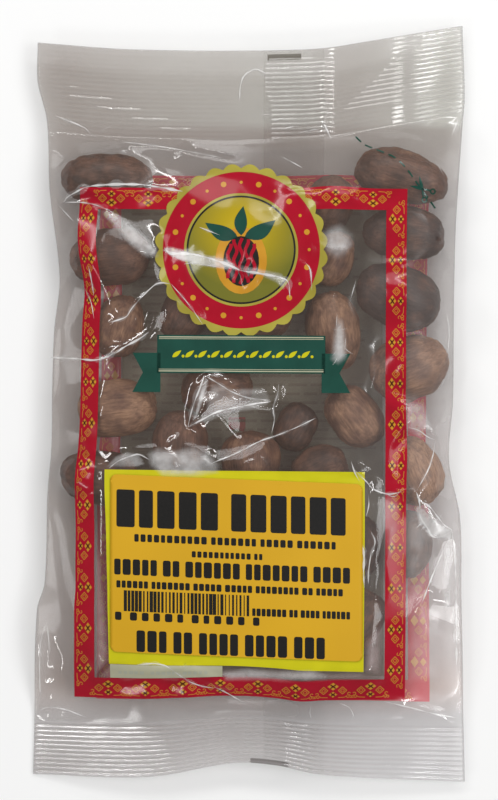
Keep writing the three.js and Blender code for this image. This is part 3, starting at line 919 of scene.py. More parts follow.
# Place along the pack as a share of its length, and the colour of the haze there; the pink near the bottom
# border is a painted reflection of the red print.
HAZE_TINTS_WITH_RED_GLOW = [(0.08, "#CECACA"), (0.12, "#DCC8C0"), (0.17, "#D4C9C6"), (0.8, "#CECBCB"), (0.88, "#CFCFC3")]


def film(name, alpha, ior):
    """Film as hazy as its points' stored haze and painted sheen say, with a dark low tone that is painted
    shade, and smears that dull its gloss.
    """
    material, tree, shader = new_material(name)
    place = add_node(tree, "ShaderNodeTexCoord").outputs["Object"]
    stored = add_node(tree, "ShaderNodeAttribute", {"attribute_name": "haze_and_sheen"}).outputs["Fac"]
    cloud = add_node(tree, "ShaderNodeTexNoise", Vector=place, Scale=60.0, Detail=4.0)
    uneven = add_node(tree, "ShaderNodeMath", SUM, _0=cloud.outputs["Fac"], _1=0.25, _2=stored)
    along = add_node(tree, "ShaderNodeSeparateXYZ", Vector=place).outputs["Y"]
    level = add_node(tree, "ShaderNodeMapRange", Value=along)
    feed(tree, level, From_Min=-PACK_LENGTH / 2 * MM, From_Max=PACK_LENGTH / 2 * MM)
    pale = add_node(tree, "ShaderNodeValToRGB", Fac=level.outputs["Result"])
    stops = pale.color_ramp.elements
    stops[0].color, stops[1].color = linear("#CECBCB"), linear("#CDCCC2")
    # the pink stop near the bottom border is a painted reflection of the red print
    for at, tint in HAZE_TINTS_WITH_RED_GLOW:
        stops.new(at).color = linear(tint)
    # painted shade: where the haze is low the film scatters a dark brown, which darkens what is seen through
    # it
    haze_and_sheen = add_node(tree, "ShaderNodeMix", TWO_TONE, Factor=uneven.outputs[0], _6=linear("#6B4A2E"))
    feed(tree, haze_and_sheen, _7=pale.outputs["Color"])
    smear = add_node(tree, "ShaderNodeTexNoise", Vector=place, Scale=95.0, Detail=3.0)
    gloss = add_node(tree, "ShaderNodeMapRange", Value=smear.outputs["Fac"], From_Min=0.35, From_Max=0.7)
    feed(tree, gloss, To_Min=0.045, To_Max=0.13)
    calm = add_node(tree, "ShaderNodeAttribute", {"attribute_name": "dull"}).outputs["Fac"]
    blunt = add_node(tree, "ShaderNodeMath", SUM, _0=calm, _1=0.3, _2=gloss.outputs["Result"])
    weak = add_node(tree, "ShaderNodeMath", SUM, _0=calm, _1=-0.36, _2=0.5)
    feed(tree, shader, Base_Color=haze_and_sheen.outputs[2], Roughness=blunt.outputs[0], IOR=ior, Alpha=alpha)
    feed(tree, shader, Specular_IOR_Level=weak.outputs[0])
    return material


# Place across the pack, and the haze there, with a painted sheen that grows towards the right.
TOP_HAZE_AND_SHEEN = [
    (-50, 0.05), (-25, 0.26), (-11, 0.34), (-4, 0.3), (3, 0.42), (17, 0.44), (24, 0.26), (31, 0.24),
    (45, 0.44), (52, 0.62),
]
BOTTOM_HAZE_AND_SHEEN = [(-50, 0.46), (14, 0.60), (46, 0.95)]


def haze_and_sheen_at(x, y):
    """How hazy the film is in the seals, where two skins are one, with a painted sheen that makes it paler to
    the right and downwards.
    """
    # painted sheen: the film is made paler to the right and downwards, where light falls on it
    side = smooth_step(x, 10, 60) * (0.15 + 0.60 * np.clip((65 - y) / 100, 0, 1))
    side = np.maximum(side, 0.16 * smooth_step(-y, 10, 60))
    head = smooth_step(y, 76, 80) * np.interp(x, *zip(*TOP_HAZE_AND_SHEEN))
    foot = smooth_step(-y, 74, 84) * np.interp(x, *zip(*BOTTOM_HAZE_AND_SHEEN))
    return np.maximum(side, np.maximum(head, foot))


def store(mesh, name, values):
    """Keeps a number for each point of a mesh, which materials and trees can read by its name."""
    mesh.attributes.new(name, "FLOAT", "POINT").data.foreach_set("value", values.astype(np.float32))


def store_haze_and_sheen(piece, grid_x, grid_y, rib_sheen_shift):
    """Stores the haze with its painted sheen, plus the painted highlight and shade that a rib adds, and the
    dullness on the points of a closed bag.
    """
    for name, value in (("haze_and_sheen", haze_and_sheen_at(grid_x, grid_y) + rib_sheen_shift), ("dull", calm_at(grid_x, grid_y))):
        store(piece.data, name, np.concatenate([value.ravel(), value[1:-1, 1:-1].ravel()]))


front_film = film("polypropylene_film", 0.18, 3.2)
# painted shade: the back skin's haze is denser than the front's, so what is seen through the pack is darker
shaded_back_film = film("back_film_with_painted_shade", 0.46, 1.8)

bag = mesh_object("film_bag", bag_points, bag_faces, front_film)
bag.data.materials.append(shaded_back_film)
lower_half = np.arange(len(bag_faces)) >= len(bag_faces) // 2
bag.data.polygons.foreach_set("material_index", lower_half.astype(np.int32))
# painted highlight and shade on the ribs: hazier, paler crests and clearer, darker hollows, most where the
# crimp bit deepest
store_haze_and_sheen(bag, plan_x, plan_y, (0.08 + 0.14 * bite) * ridge)
stand_for(bag, "pack", "film")
print("haze from %.2f to %.2f" % (haze_and_sheen_at(plan_x, plan_y).min(), haze_and_sheen_at(plan_x, plan_y).max()))

# %% [markdown]
# ## The nutmegs
#
# A nutmeg is the dried seed of its fruit: an egg-shaped kernel with a net of shallow lengthwise furrows,
# where the mace gripped it. Each blank is an ovoid with its own length, width and turn. A Geometry Nodes
# tree then cuts the furrows from noise stretched along each nutmeg, and its coordinates are kept as an
# attribute, which the material reads too.

# %% Blanks of the nutmegs
BLANK_ALONG, BLANK_ROUND = 34, 44
BLUNTNESS = 2.25  # 2 is an ellipsoid, and more is blunter
EGG, BEND = 0.09, 0.5  # the most that one end is fatter, and that the middle is bent, in millimetres
FIRST_SEED, APART = 100, 97.0  # millimetres between the nutmegs' own coordinates, so that no two look alike


def nutmeg_blank(index, nut):
    """Points, faces and own coordinates (in millimetres) of one ovoid."""
    cx, cy, length, width, turn, lift, tone = nut
    own = np.random.default_rng(FIRST_SEED + index)
    egg = own.uniform(-EGG, EGG)
    bend = own.uniform(-BEND, BEND)
    polar = np.linspace(0, math.pi, BLANK_ALONG + 1)[1:-1]
    azimuth = np.linspace(0, 2 * math.pi, BLANK_ROUND, endpoint=False)
    u = -np.sign(np.cos(polar)) * np.abs(np.cos(polar)) ** (2 / BLUNTNESS)
    r = np.abs(np.sin(polar)) ** (2 / BLUNTNESS) * (1 + egg * u)
    roll = own.uniform(0, 2 * math.pi)
    ring = np.stack([np.cos(azimuth), np.sin(azimuth)], 1)
    along = np.repeat(u, BLANK_ROUND) * length / 2
    aside = np.outer(r, ring[:, 0]).ravel() * width / 2
    up = np.outer(r, ring[:, 1]).ravel() * width * NUT_FLATNESS / 2
    aside = aside + bend * (2 * along / length) ** 2
    ends = [(-length / 2, bend, 0), (length / 2, bend, 0)]
    shape = np.vstack([np.stack([along, aside, up], 1), ends])
    rings = BLANK_ALONG - 1
    step = np.arange(BLANK_ROUND)
    after = (step + 1) % BLANK_ROUND
    start = np.arange(rings - 1)[:, None] * BLANK_ROUND
    a, b = start + step, start + after
    faces = np.stack([a, b, b + BLANK_ROUND, a + BLANK_ROUND], -1).reshape(-1, 4).tolist()
    tip, base = np.full(BLANK_ROUND, rings * BLANK_ROUND), (rings - 1) * BLANK_ROUND
    faces += np.stack([tip, after, step], 1).tolist()
    faces += np.stack([tip + 1, base + step, base + after], 1).tolist()
    c, s = math.cos(math.radians(turn)), math.sin(math.radians(turn))
    x = cx + shape[:, 0] * c - shape[:, 1] * s
    y = cy + shape[:, 0] * s + shape[:, 1] * c
    z = 0.5 * width * NUT_FLATNESS + TABLE_GAP + FILM_GAP + lift + shape[:, 2]
    cr, sr = math.cos(roll), math.sin(roll)
    own_y = shape[:, 1] * cr - shape[:, 2] * sr
    own_z = shape[:, 1] * sr + shape[:, 2] * cr
    coordinates = np.stack([shape[:, 0] + APART * index, own_y, own_z], 1)
    return in_space(x, y, z), faces, coordinates, np.full(len(shape), tone)


def join_blanks():
    points, faces, coordinates, tones = zip(*(nutmeg_blank(k, nut) for k, nut in enumerate(NUTMEGS)))
    joined = [[k * len(points[0]) + v for v in face] for k, some in enumerate(faces) for face in some]
    return np.vstack(points), joined, np.vstack(coordinates), np.concatenate(tones)


nut_points, nut_faces, nut_own, nut_tones = join_blanks()
print(len(NUTMEGS), "blanks with", len(nut_faces), "faces")


# %% Furrow the nutmegs with Geometry Nodes
PRODUCT, SCALED, TOTAL = {"operation": "MULTIPLY"}, {"operation": "SCALE"}, {"operation": "ADD"}
FURROW_DEPTH, DENT_DEPTH = 0.4 * MM, 0.6 * MM


def new_tree(name, inputs):
    """A geometry node group with a geometry input and output and named inputs with defaults."""
    tree = bpy.data.node_groups.new(name, "GeometryNodeTree")
    tree.interface.new_socket("Geometry", in_out="INPUT", socket_type="NodeSocketGeometry")
    tree.interface.new_socket("Geometry", in_out="OUTPUT", socket_type="NodeSocketGeometry")
    for label, (kind, value) in inputs.items():
        tree.interface.new_socket(label, in_out="INPUT", socket_type=kind).default_value = value
    return tree, tree.nodes.new("NodeGroupInput"), tree.nodes.new("NodeGroupOutput")


def end_tree(tree, made, geometry, material):
    """Ends a tree with real geometry in a material, because the export keeps no instances."""
    real = add_node(tree, "GeometryNodeRealizeInstances", Geometry=geometry)
    dressed = add_node(tree, "GeometryNodeSetMaterial", Geometry=real.outputs[0], Material=material)
    tree.links.new(dressed.outputs[0], made.inputs[0])


def apply_tree(blank, tree, values):
    """Puts the tree on an object with its inputs set, and returns the result as a plain mesh."""
    modifier = blank.modifiers.new(tree.name, "NODES")
    modifier.node_group = tree
    for item in tree.interface.items_tree:
        if item.in_out == "INPUT" and item.name in values:
            modifier[item.identifier] = values[item.name]
    evaluated = blank.evaluated_get(bpy.context.evaluated_depsgraph_get())
    result = bpy.data.meshes.new_from_object(evaluated)
    blank.modifiers.remove(modifier)
    return result


def furrow_tree(material):
    tree, given, made = new_tree(
        "nutmeg_furrows",
        {
            "Furrow Depth": ("NodeSocketFloat", 0.35 * MM),
            "Furrow Spacing": ("NodeSocketFloat", 2.6),
            "Dent Depth": ("NodeSocketFloat", 0.5 * MM),
            "Stretch": ("NodeSocketFloat", 0.22),
        },
    )
    asked = given.outputs
    kernel = add_node(tree, "GeometryNodeInputNamedAttribute", {"data_type": "FLOAT_VECTOR"}, Name="kernel")
    own = kernel.outputs["Attribute"]
    stretch = add_node(tree, "ShaderNodeCombineXYZ", X=asked["Stretch"], Y=1.0, Z=1.0)
    drawn = add_node(tree, "ShaderNodeVectorMath", PRODUCT, _0=own, _1=stretch.outputs[0])
    per_mm = add_node(tree, "ShaderNodeMath", {"operation": "DIVIDE"}, _0=1.0, _1=asked["Furrow Spacing"])
    warp = add_node(tree, "ShaderNodeTexNoise", Vector=drawn.outputs[0], Scale=0.35, Detail=1.0)
    shift = add_node(tree, "ShaderNodeVectorMath", SCALED, _0=warp.outputs["Color"], Scale=2.2)
    warped = add_node(tree, "ShaderNodeVectorMath", TOTAL, _0=drawn.outputs[0], _1=shift.outputs[0])
    noise = add_node(tree, "ShaderNodeTexNoise", Vector=warped.outputs[0], Detail=3.0, Roughness=0.55)
    feed(tree, noise, Scale=per_mm.outputs[0])
    centred = add_node(tree, "ShaderNodeMath", {"operation": "SUBTRACT"}, _0=noise.outputs["Fac"], _1=0.5)
    ridge = add_node(tree, "ShaderNodeMath", {"operation": "ABSOLUTE"}, _0=centred.outputs[0])
    furrow = add_node(tree, "ShaderNodeMapRange", Value=ridge.outputs[0])
    feed(tree, furrow, From_Max=0.11, To_Min=-1.0, To_Max=0.0)
    dents = add_node(tree, "ShaderNodeTexNoise", Vector=own, Scale=0.13, Detail=1.0)
    dent = add_node(tree, "ShaderNodeMapRange", Value=dents.outputs["Fac"], From_Min=0.3, From_Max=0.62)
    feed(tree, dent, To_Min=-1.0, To_Max=0.0)
    cut = add_node(tree, "ShaderNodeMath", PRODUCT, _0=furrow.outputs["Result"], _1=asked["Furrow Depth"])
    press = add_node(tree, "ShaderNodeMath", SUM, _0=dent.outputs["Result"], _1=asked["Dent Depth"])
    feed(tree, press, _2=cut.outputs[0])
    normal = add_node(tree, "GeometryNodeInputNormal")
    offset = add_node(tree, "ShaderNodeVectorMath", SCALED, _0=normal.outputs[0], Scale=press.outputs[0])
    shaped = add_node(tree, "GeometryNodeSetPosition", Geometry=asked["Geometry"])
    feed(tree, shaped, Offset=offset.outputs[0])
    end_tree(tree, made, shaped.outputs[0], material)
    return tree


# %% [markdown]
# Dried nutmeg is a matt, fine-grained brown seed coat. Its tone differs from nut to nut, it is darker in
# the furrows, and thin dark veins about half a millimetre apart run lengthwise.

# %% Nutmeg material
nut_material, tree, shader = new_material("dried_nutmeg_seed")
own = add_node(tree, "ShaderNodeAttribute", {"attribute_name": "kernel"}).outputs["Vector"]
tone = add_node(tree, "ShaderNodeAttribute", {"attribute_name": "tone"}).outputs["Fac"]
drawn = add_node(tree, "ShaderNodeVectorMath", PRODUCT, _0=own, _1=(0.17, 1.0, 1.0))
warp = add_node(tree, "ShaderNodeTexNoise", Vector=drawn.outputs[0], Scale=0.5, Detail=2.0)
shift = add_node(tree, "ShaderNodeVectorMath", SCALED, _0=warp.outputs["Color"], Scale=1.8)
veined = add_node(tree, "ShaderNodeVectorMath", TOTAL, _0=drawn.outputs[0], _1=shift.outputs[0])
veins = add_node(tree, "ShaderNodeTexNoise", Vector=veined.outputs[0], Scale=1.25, Detail=5.0, Roughness=0.7)
vein_line = add_node(tree, "ShaderNodeMapRange", Value=veins.outputs["Fac"], From_Min=0.36, From_Max=0.62)
blotch = add_node(tree, "ShaderNodeTexNoise", Vector=own, Scale=0.22, Detail=3.0)
blotch_tone = add_node(tree, "ShaderNodeMath", SUM, _0=blotch.outputs["Fac"], _1=1.3, _2=-0.65)
pale = add_node(tree, "ShaderNodeMath", TOTAL, _0=tone, _1=blotch_tone.outputs[0])
ground = add_node(tree, "ShaderNodeValToRGB", Fac=pale.outputs[0])
browns = ground.color_ramp.elements
browns[0].color, browns[1].color = linear("#3E2E29"), linear("#B08768")
browns.new(0.5).color = linear("#745140")
vein_tone = add_node(tree, "ShaderNodeMix", TWO_TONE, Factor=vein_line.outputs["Result"])
feed(tree, vein_tone, _6=linear("#8E7464"), _7=linear("#FFFFFF"))
darker = add_node(tree, "ShaderNodeMix", {"data_type": "RGBA", "blend_type": "MULTIPLY"}, Factor=0.68)
feed(tree, darker, _6=ground.outputs["Color"], _7=vein_tone.outputs[2])
bump = add_node(tree, "ShaderNodeBump", Height=vein_line.outputs["Result"], Strength=0.5, Distance=0.12 * MM)
feed(tree, shader, Base_Color=darker.outputs[2], Roughness=0.62, Normal=bump.outputs[0])

nuts = mesh_object("nutmegs", nut_points, nut_faces, nut_material)
nuts.data.attributes.new("kernel", "FLOAT_VECTOR", "POINT").data.foreach_set("vector", nut_own.ravel())
store(nuts.data, "tone", nut_tones)
depths = {"Furrow Depth": FURROW_DEPTH, "Dent Depth": DENT_DEPTH}
nuts.data = apply_tree(nuts, furrow_tree(nut_material), depths)
stand_for(nuts, "pack", "nutmeg")
print("nutmegs", len(NUTMEGS), "faces", len(nuts.data.polygons))

# %% [markdown]
# ## Print laid on the film
#
# The print is ink on the film, so it follows every fold. Each printed shape is drawn flat as small convex
# polygons. It is then cut along the grid of the film, so that each scrap lies on one triangle of film and
# can be lifted just clear of it, with the film's own normals. The edges stay as crisp as a printing plate's.

# %% Cut shapes along a skin's grid


def split(polygon, sides):
    """Cuts a convex polygon where `sides` changes sign; returns its negative and positive parts."""
    low, high = [], []
    count = len(polygon)
    for i in range(count):
        a, b = polygon[i], polygon[(i + 1) % count]
        fa, fb = sides[i], sides[(i + 1) % count]
        if fa <= 0:
            low.append(a)
        if fa >= 0:
            high.append(a)
        if fa * fb < 0:
            t = fa / (fa - fb)
            cut = (a[0] + t * (b[0] - a[0]), a[1] + t * (b[1] - a[1]))
            low.append(cut)
            high.append(cut)
    return (low if len(low) > 2 else None), (high if len(high) > 2 else None)


def slices(polygon, axis, lines):
    """Yields (index, part) for the parts of a polygon between successive grid lines."""
    values = [v[axis] for v in polygon]
    first = max(int(np.searchsorted(lines, min(values), side="right")) - 1, 0)
    last = min(int(np.searchsorted(lines, max(values), side="left")) - 1, len(lines) - 2)
    rest = polygon
    for index in range(first, last + 1):
        if index == last:
            yield index, rest
            return
        edge = lines[index + 1]
        part, rest = split(rest, [v[axis] - edge for v in rest])
        if part:
            yield index, part
        if rest is None:
            return


def area_of(polygon):
    return 0.5 * sum(a[0] * b[1] - b[0] * a[1] for a, b in zip(polygon, polygon[1:] + polygon[:1]))


SMALLEST_SCRAP = 1e-5  # square millimetres
KEYS_PER_MM = 2000  # corners that round to the same key are one point


def lay_on(skin, polygons, lift):
    """Points, faces and normals of flat polygons laid on a skin, `lift` millimetres off it."""
    raised = skin.points + skin.normals * lift * MM
    points, normals, faces, known = [], [], [], {}
    for polygon in polygons:
        polygon = [tuple(map(float, v)) for v in polygon]
        if area_of(polygon) < 0:
            polygon = polygon[::-1]
        for i, column in slices(polygon, 0, skin.across):
            left, wide = skin.across[i], skin.across[i + 1] - skin.across[i]
            for j, cell in slices(column, 1, skin.along):
                low, tall = skin.along[j], skin.along[j + 1] - skin.along[j]
                local = [((v[0] - left) / wide, (v[1] - low) / tall) for v in cell]
                lower, upper = split(local, [v[1] - v[0] for v in local])
                for half, is_upper in ((lower, False), (upper, True)):
                    if half is None or area_of(half) * wide * tall < SMALLEST_SCRAP:
                        continue
                    face = []
                    for s, t in half:
                        place = (left + s * wide, low + t * tall)
                        key = tuple(round(value * KEYS_PER_MM) for value in place)
                        if key not in known:
                            corners = ((j, i), (j + 1, i + 1), (j + 1, i) if is_upper else (j, i + 1))
                            shares = (1 - t, s, t - s) if is_upper else (1 - s, t, s - t)
                            known[key] = len(points)
                            points.append(sum(w * raised[c] for w, c in zip(shares, corners)))
                            normals.append(sum(w * skin.normals[c] for w, c in zip(shares, corners)))
                        if known[key] not in face:
                            face.append(known[key])
                    if len(face) > 2:
                        faces.append(face if skin.outward > 0 else face[::-1])
    return points, faces, normals


def print_on(name, skin, polygons, lift, material, slot_name, replaced="pack"):
    """Makes a printed piece, and gives it the film's normals so that its gloss runs on unbroken."""
    points, faces, normals = lay_on(skin, polygons, lift)
    piece = mesh_object(name, points, faces, material)
    normals = np.array(normals)
    normals /= np.linalg.norm(normals, axis=1)[:, None]
    piece.data.normals_split_custom_set_from_vertices(normals.tolist())
    stand_for(piece, replaced, slot_name)
    print(name, len(faces), "faces")
    return piece


def lay_print(skin, table):
    """Lays each row of a table: name, shapes, lift off the film in millimetres, ink and material slot."""
    for name, shapes, lift, material, slot in table:
        print_on(name, skin, shapes, lift, material, slot)


# %% [markdown]
# ## Flat shapes
#
# Everything printed is built from four simple makers: a bar, a ring, a stroke of even width along a line,
# and a filled outline that Blender's own tessellator cuts into triangles.

# %% Makers of flat shapes


def bar(x0, y0, x1, y1):
    return [[(x0, y0), (x1, y0), (x1, y1), (x0, y1)]]


def ring(centre, inner, outer, steps):
    """A ring, or a disc where inner is 0; outer may be a function of the angle in radians."""
    angles = np.radians(np.linspace(0, 360, steps + 1))
    edge = []
    for radius in (inner, outer):
        reach = [radius(a) if callable(radius) else radius for a in angles]
        round_it = zip(reach, angles)
        edge.append([(centre[0] + r * math.cos(a), centre[1] + r * math.sin(a)) for r, a in round_it])
    if inner == 0:
        return [[centre, edge[1][k], edge[1][k + 1]] for k in range(steps)]
    return [[edge[0][k], edge[1][k], edge[1][k + 1], edge[0][k + 1]] for k in range(steps)]


def stroke(points, width):
    """A line of even width, or of a width for each point, mitred at its bends."""
    line = np.array(points, float)
    ahead = np.gradient(line, axis=0)
    ahead /= np.maximum(np.hypot(ahead[:, 0], ahead[:, 1]), 1e-9)[:, None]
    aside = np.c_[-ahead[:, 1], ahead[:, 0]] * np.broadcast_to(width, len(line))[:, None] / 2
    left, right = line + aside, line - aside
    return [[left[k], right[k], right[k + 1], left[k + 1]] for k in range(len(line) - 1)]


def filled(outline):
    """Triangles that fill a closed outline."""
    corners = [(float(x), float(y), 0.0) for x, y in outline]
    return [[outline[i] for i in triangle] for triangle in tessellate_polygon([corners])]


def lozenge(centre, half_width, half_height):
    x, y = centre
    return [[(x - half_width, y), (x, y - half_height), (x + half_width, y), (x, y + half_height)]]


def leaf(base, tip, width, bend=0.0, steps=10):
    """A pointed leaf between two points."""
    base, tip = np.array(base, float), np.array(tip, float)
    aside = np.array([-(tip - base)[1], (tip - base)[0]])
    aside /= np.hypot(*aside)
    t = np.linspace(0, 1, steps + 1)
    spine = base + t[:, None] * (tip - base) + (bend * np.sin(math.pi * t))[:, None] * aside
    half = (width / 2 * np.sin(math.pi * t**0.8))[:, None] * aside
    edge = [spine + half, spine - half]
    return [[edge[1][k], edge[1][k + 1], edge[0][k + 1], edge[0][k]] for k in range(steps)]


def moved(polygons, dx=0.0, dy=0.0, turn=0.0):
    c, s = math.cos(math.radians(turn)), math.sin(math.radians(turn))
    return [[(dx + x * c - y * s, dy + x * s + y * c) for x, y in polygon] for polygon in polygons]


# %% [markdown]
# Inks on polypropylene are printed by flexography and lie as flat, even colours with the film's own gloss.

# %% Ink materials


def ink(name, low, high, grain=180.0):
    """A gloss ink whose strength varies a little over a few millimetres; grain is per metre."""
    return mottled(name, low, high, grain, 3.0, Roughness=0.14, IOR=1.5, Specular_IOR_Level=0.34)[0]


red_ink = ink("red_flexo_ink", "#98081C", "#B00E2A")
gold_ink = ink("gold_flexo_ink", "#B97F1C", "#D29A34")
pale_gold_ink = ink("thin_gold_flexo_ink", "#E8A860", "#F4BC78")
olive_gold_ink = ink("olive_gold_flexo_ink", "#75641C", "#C2B850", grain=70.0)
lime_ink = ink("lime_flexo_ink", "#BBB510", "#D1C91A")
green_ink = ink("dark_green_flexo_ink", "#183E34", "#205044")
dark_ink = ink("black_flexo_ink", "#1E1A18", "#2A2624")
maroon_ink = ink("maroon_flexo_ink", "#4A1410", "#5E2014")
cream_ink = ink("cream_flexo_ink", "#A9A78C", "#BEBCA2")
thin_red_ink = ink("thin_red_flexo_ink", "#DC3E50", "#F05468")
thin_red_ink.node_tree.nodes["Principled BSDF"].inputs["Alpha"].default_value = 0.74
panel_ink = ink("pale_olive_flexo_ink", "#BCC2AE", "#C8CEBA")
small_print_ink = ink("olive_flexo_ink", "#A8AA98", "#B2B4A2")
print(len(bpy.data.materials), "materials so far")

# %% [markdown]
# ## The border
#
# The red border carries a row of small gold lozenge clusters, an ordinary woven-ribbon ornament. One
# cluster is drawn flat. A Geometry Nodes tree sets copies along a line at an even pitch, once for each side.

# %% One gold cluster and its repeat
BORDER_WIDTH, BORDER_LENGTH, BORDER_BAND = 93.0, 142.9, 5.95
BORDER_CENTRE = (-2.0, -11.1)
PRINT_TURN = -0.3
CLUSTERS_ACROSS, PITCH_ACROSS = 8, 10.5
CLUSTERS_ALONG, PITCH_ALONG = 12, 11.45


def rosette(centre, half_along, half_across):
    """A lozenge, and the dark cross that splits it into four petals."""
    x, y = centre
    cross = []
    for side in (-1, 1):
        a, b = 0.46 * half_along * side, 0.46 * half_across
        cross += stroke([(x - a, y - b), (x, y), (x + a, y + b)], 0.36)
    return lozenge(centre, half_along, half_across), cross


CURLS = [(4.5, -1.0, 0.42, 0.4), (4.2, -1.85, 0.36, 2.2), (4.95, -1.9, 0.3, 4.0)]  # x, y, radius, start


def gold_cluster():
    """A cluster about its middle, and the crosses on it; +Y is towards the inside of the border."""
    inner, inner_cross = rosette((0, 1.15), 1.6, 1.12)
    outer, outer_cross = rosette((0, -1.25), 1.2, 0.9)
    shapes = inner + outer
    for side in (-1, 1):
        x = 2.65 * side
        for grown, width in ((1.0, 0.17), (0.5, 0.13)):
            wide, tall = 1.2 * grown, 1.08 * grown
            corners = [(x + wide, 0.0), (x, tall), (x - wide, 0.0), (x, -tall)]
            for a, b in zip(corners, corners[1:] + corners[:1]):
                shapes += stroke([a, b], width)
        shapes += stroke([(1.5 * side, -2.15), (3.3 * side, -2.05), (3.9 * side, -1.6)], 0.15)
        for x, y, radius, start in CURLS:
            turns = np.linspace(start, start + 5.0, 9)
            curl = [((x + radius * math.cos(a)) * side, y + radius * math.sin(a)) for a in turns]
            shapes += stroke(curl, 0.16)
    return shapes, inner_cross + outer_cross


def flat_object(name, polygons):
    """A flat drawing in millimetres, kept only until it is laid on the film."""
    points = [(x, y, 0.0) for polygon in polygons for x, y in polygon]
    faces, start = [], 0
    for polygon in polygons:
        faces.append(list(range(start, start + len(polygon))))
        start += len(polygon)
    return mesh_object(name, points, faces, gold_ink, smooth=False)


def repeat_tree(motif, material):
    """Copies of a motif at an even pitch along X, centred on the origin."""
    inputs = {"Count": ("NodeSocketInt", 8), "Pitch": ("NodeSocketFloat", 10.0)}
    tree, given, made = new_tree("motif_row", inputs)
    count, pitch = given.outputs["Count"], given.outputs["Pitch"]
    last = add_node(tree, "ShaderNodeMath", {"operation": "SUBTRACT"}, _0=count, _1=1.0)
    half = add_node(tree, "ShaderNodeMath", PRODUCT, _0=last.outputs[0], _1=pitch)
    back_off = add_node(tree, "ShaderNodeMath", PRODUCT, _0=half.outputs[0], _1=-0.5)
    start = add_node(tree, "ShaderNodeCombineXYZ", X=back_off.outputs[0])
    step = add_node(tree, "ShaderNodeCombineXYZ", X=pitch)
    line = add_node(tree, "GeometryNodeMeshLine", {"mode": "OFFSET"}, Count=count)
    feed(tree, line, Start_Location=start.outputs[0], Offset=step.outputs[0])
    one = add_node(tree, "GeometryNodeObjectInfo", Object=motif)
    copies = add_node(tree, "GeometryNodeInstanceOnPoints", Points=line.outputs[0])
    feed(tree, copies, Instance=one.outputs["Geometry"])
    end_tree(tree, made, copies.outputs[0], material)
    return tree


def polygons_of(mesh):
    return [[tuple(mesh.vertices[v].co[:2]) for v in face.vertices] for face in mesh.polygons]


def drop(thing):
    bpy.data.objects.remove(thing, do_unlink=True)


def repeated(motif_polygons, material, count, pitch):
    """A row of copies of a flat motif, as polygons."""
    motif = flat_object("motif", motif_polygons)
    carrier = flat_object("carrier", bar(0, 0, 1, 1))
    row = apply_tree(carrier, repeat_tree(motif, material), {"Count": count, "Pitch": pitch})
    shapes = polygons_of(row)
    drop(motif)
    drop(carrier)
    return shapes


def border_shapes(width, length, band):
    """The four red bars of a border about the origin."""
    x, y = width / 2, length / 2
    return (
        bar(-x, y - band, x, y)
        + bar(-x, -y, x, -y + band)
        + bar(-x, -y + band, -x + band, y - band)
        + bar(x - band, -y + band, x, y - band)
    )


def border_ornament(width, length, band, motif):
    """Copies of a motif on the four bars, their inner points towards the middle."""
    across = repeated(motif, gold_ink, CLUSTERS_ACROSS, PITCH_ACROSS)
    along = repeated(motif, gold_ink, CLUSTERS_ALONG, PITCH_ALONG)
    x, y = (width - band) / 2, (length - band) / 2
    shapes = moved(across, 0, -y) + moved(across, 0, y, 180)
    return shapes + moved(along, x, 0, 90) + moved(along, -x, 0, -90)


place = {"dx": BORDER_CENTRE[0], "dy": BORDER_CENTRE[1], "turn": PRINT_TURN}
border = moved(border_shapes(BORDER_WIDTH, BORDER_LENGTH, BORDER_BAND), **place)
cluster, crosses = gold_cluster()
ornament = moved(border_ornament(BORDER_WIDTH, BORDER_LENGTH, BORDER_BAND, cluster), **place)
ornament_crosses = moved(border_ornament(BORDER_WIDTH, BORDER_LENGTH, BORDER_BAND, crosses), **place)
print("border", len(border), "bars", len(ornament), "gold shapes")

# %% [markdown]
# ## The front panel and the roundel
#
# A lime panel carries the sticker. Above it sits a plain roundel: a scalloped gold rim, a red band with
# gold beads, and a yellow ground with a nutmeg fruit and its leaves. Below it is a bare green ribbon.

# %% Shapes of the roundel
ROUNDEL_CENTRE = (-1.8, 43.2)
GROUND_RADIUS, LINE_RADIUS, GOLD_RADIUS, BAND_RADIUS, RIM_RADIUS = 14.7, 15.2, 15.9, 22.0, 23.0
SCALLOPS, SCALLOP_DEPTH = 28, 1.3
BEADS, BEAD_CIRCLE, BIG_BEAD, SMALL_BEAD = 24, 19.0, 0.8, 0.45
FRUIT_HALF, KERNEL_HALF = (9.4, 7.2), (7.0, 5.0)  # half length and half width
MACE_STRANDS, MACE_WIDTH = (-3.3, -1.65, 0.0, 1.65, 3.3), 0.95


def scalloped(radius, depth, count):
    """A radius that swells `count` times on its way round."""
    return lambda angle: radius + depth * abs(math.sin(count * angle / 2))


def oval(centre, half_length, half_width, steps=26):
    """The outline of an upright oval."""
    angles = np.linspace(0, 2 * math.pi, steps, endpoint=False)
    shape = [(half_length * math.cos(a), half_width * math.sin(a)) for a in angles]
    return moved([shape], centre[0], centre[1], 90)[0]


cx, cy = ROUNDEL_CENTRE
roundel_gold = ring(ROUNDEL_CENTRE, BAND_RADIUS, scalloped(RIM_RADIUS, SCALLOP_DEPTH, SCALLOPS), 168)
roundel_red = ring(ROUNDEL_CENTRE, GOLD_RADIUS, BAND_RADIUS, 96)
roundel_inner_gold = ring(ROUNDEL_CENTRE, LINE_RADIUS, GOLD_RADIUS, 96)
roundel_dark = ring(ROUNDEL_CENTRE, GROUND_RADIUS, LINE_RADIUS, 96)
roundel_ground = ring(ROUNDEL_CENTRE, 0, GROUND_RADIUS, 72)
beads = []
for k in range(BEADS):
    angle = 2 * math.pi * k / BEADS
    bead = (cx + BEAD_CIRCLE * math.cos(angle), cy + BEAD_CIRCLE * math.sin(angle))
    beads += ring(bead, 0, BIG_BEAD if k % 2 else SMALL_BEAD, 14)

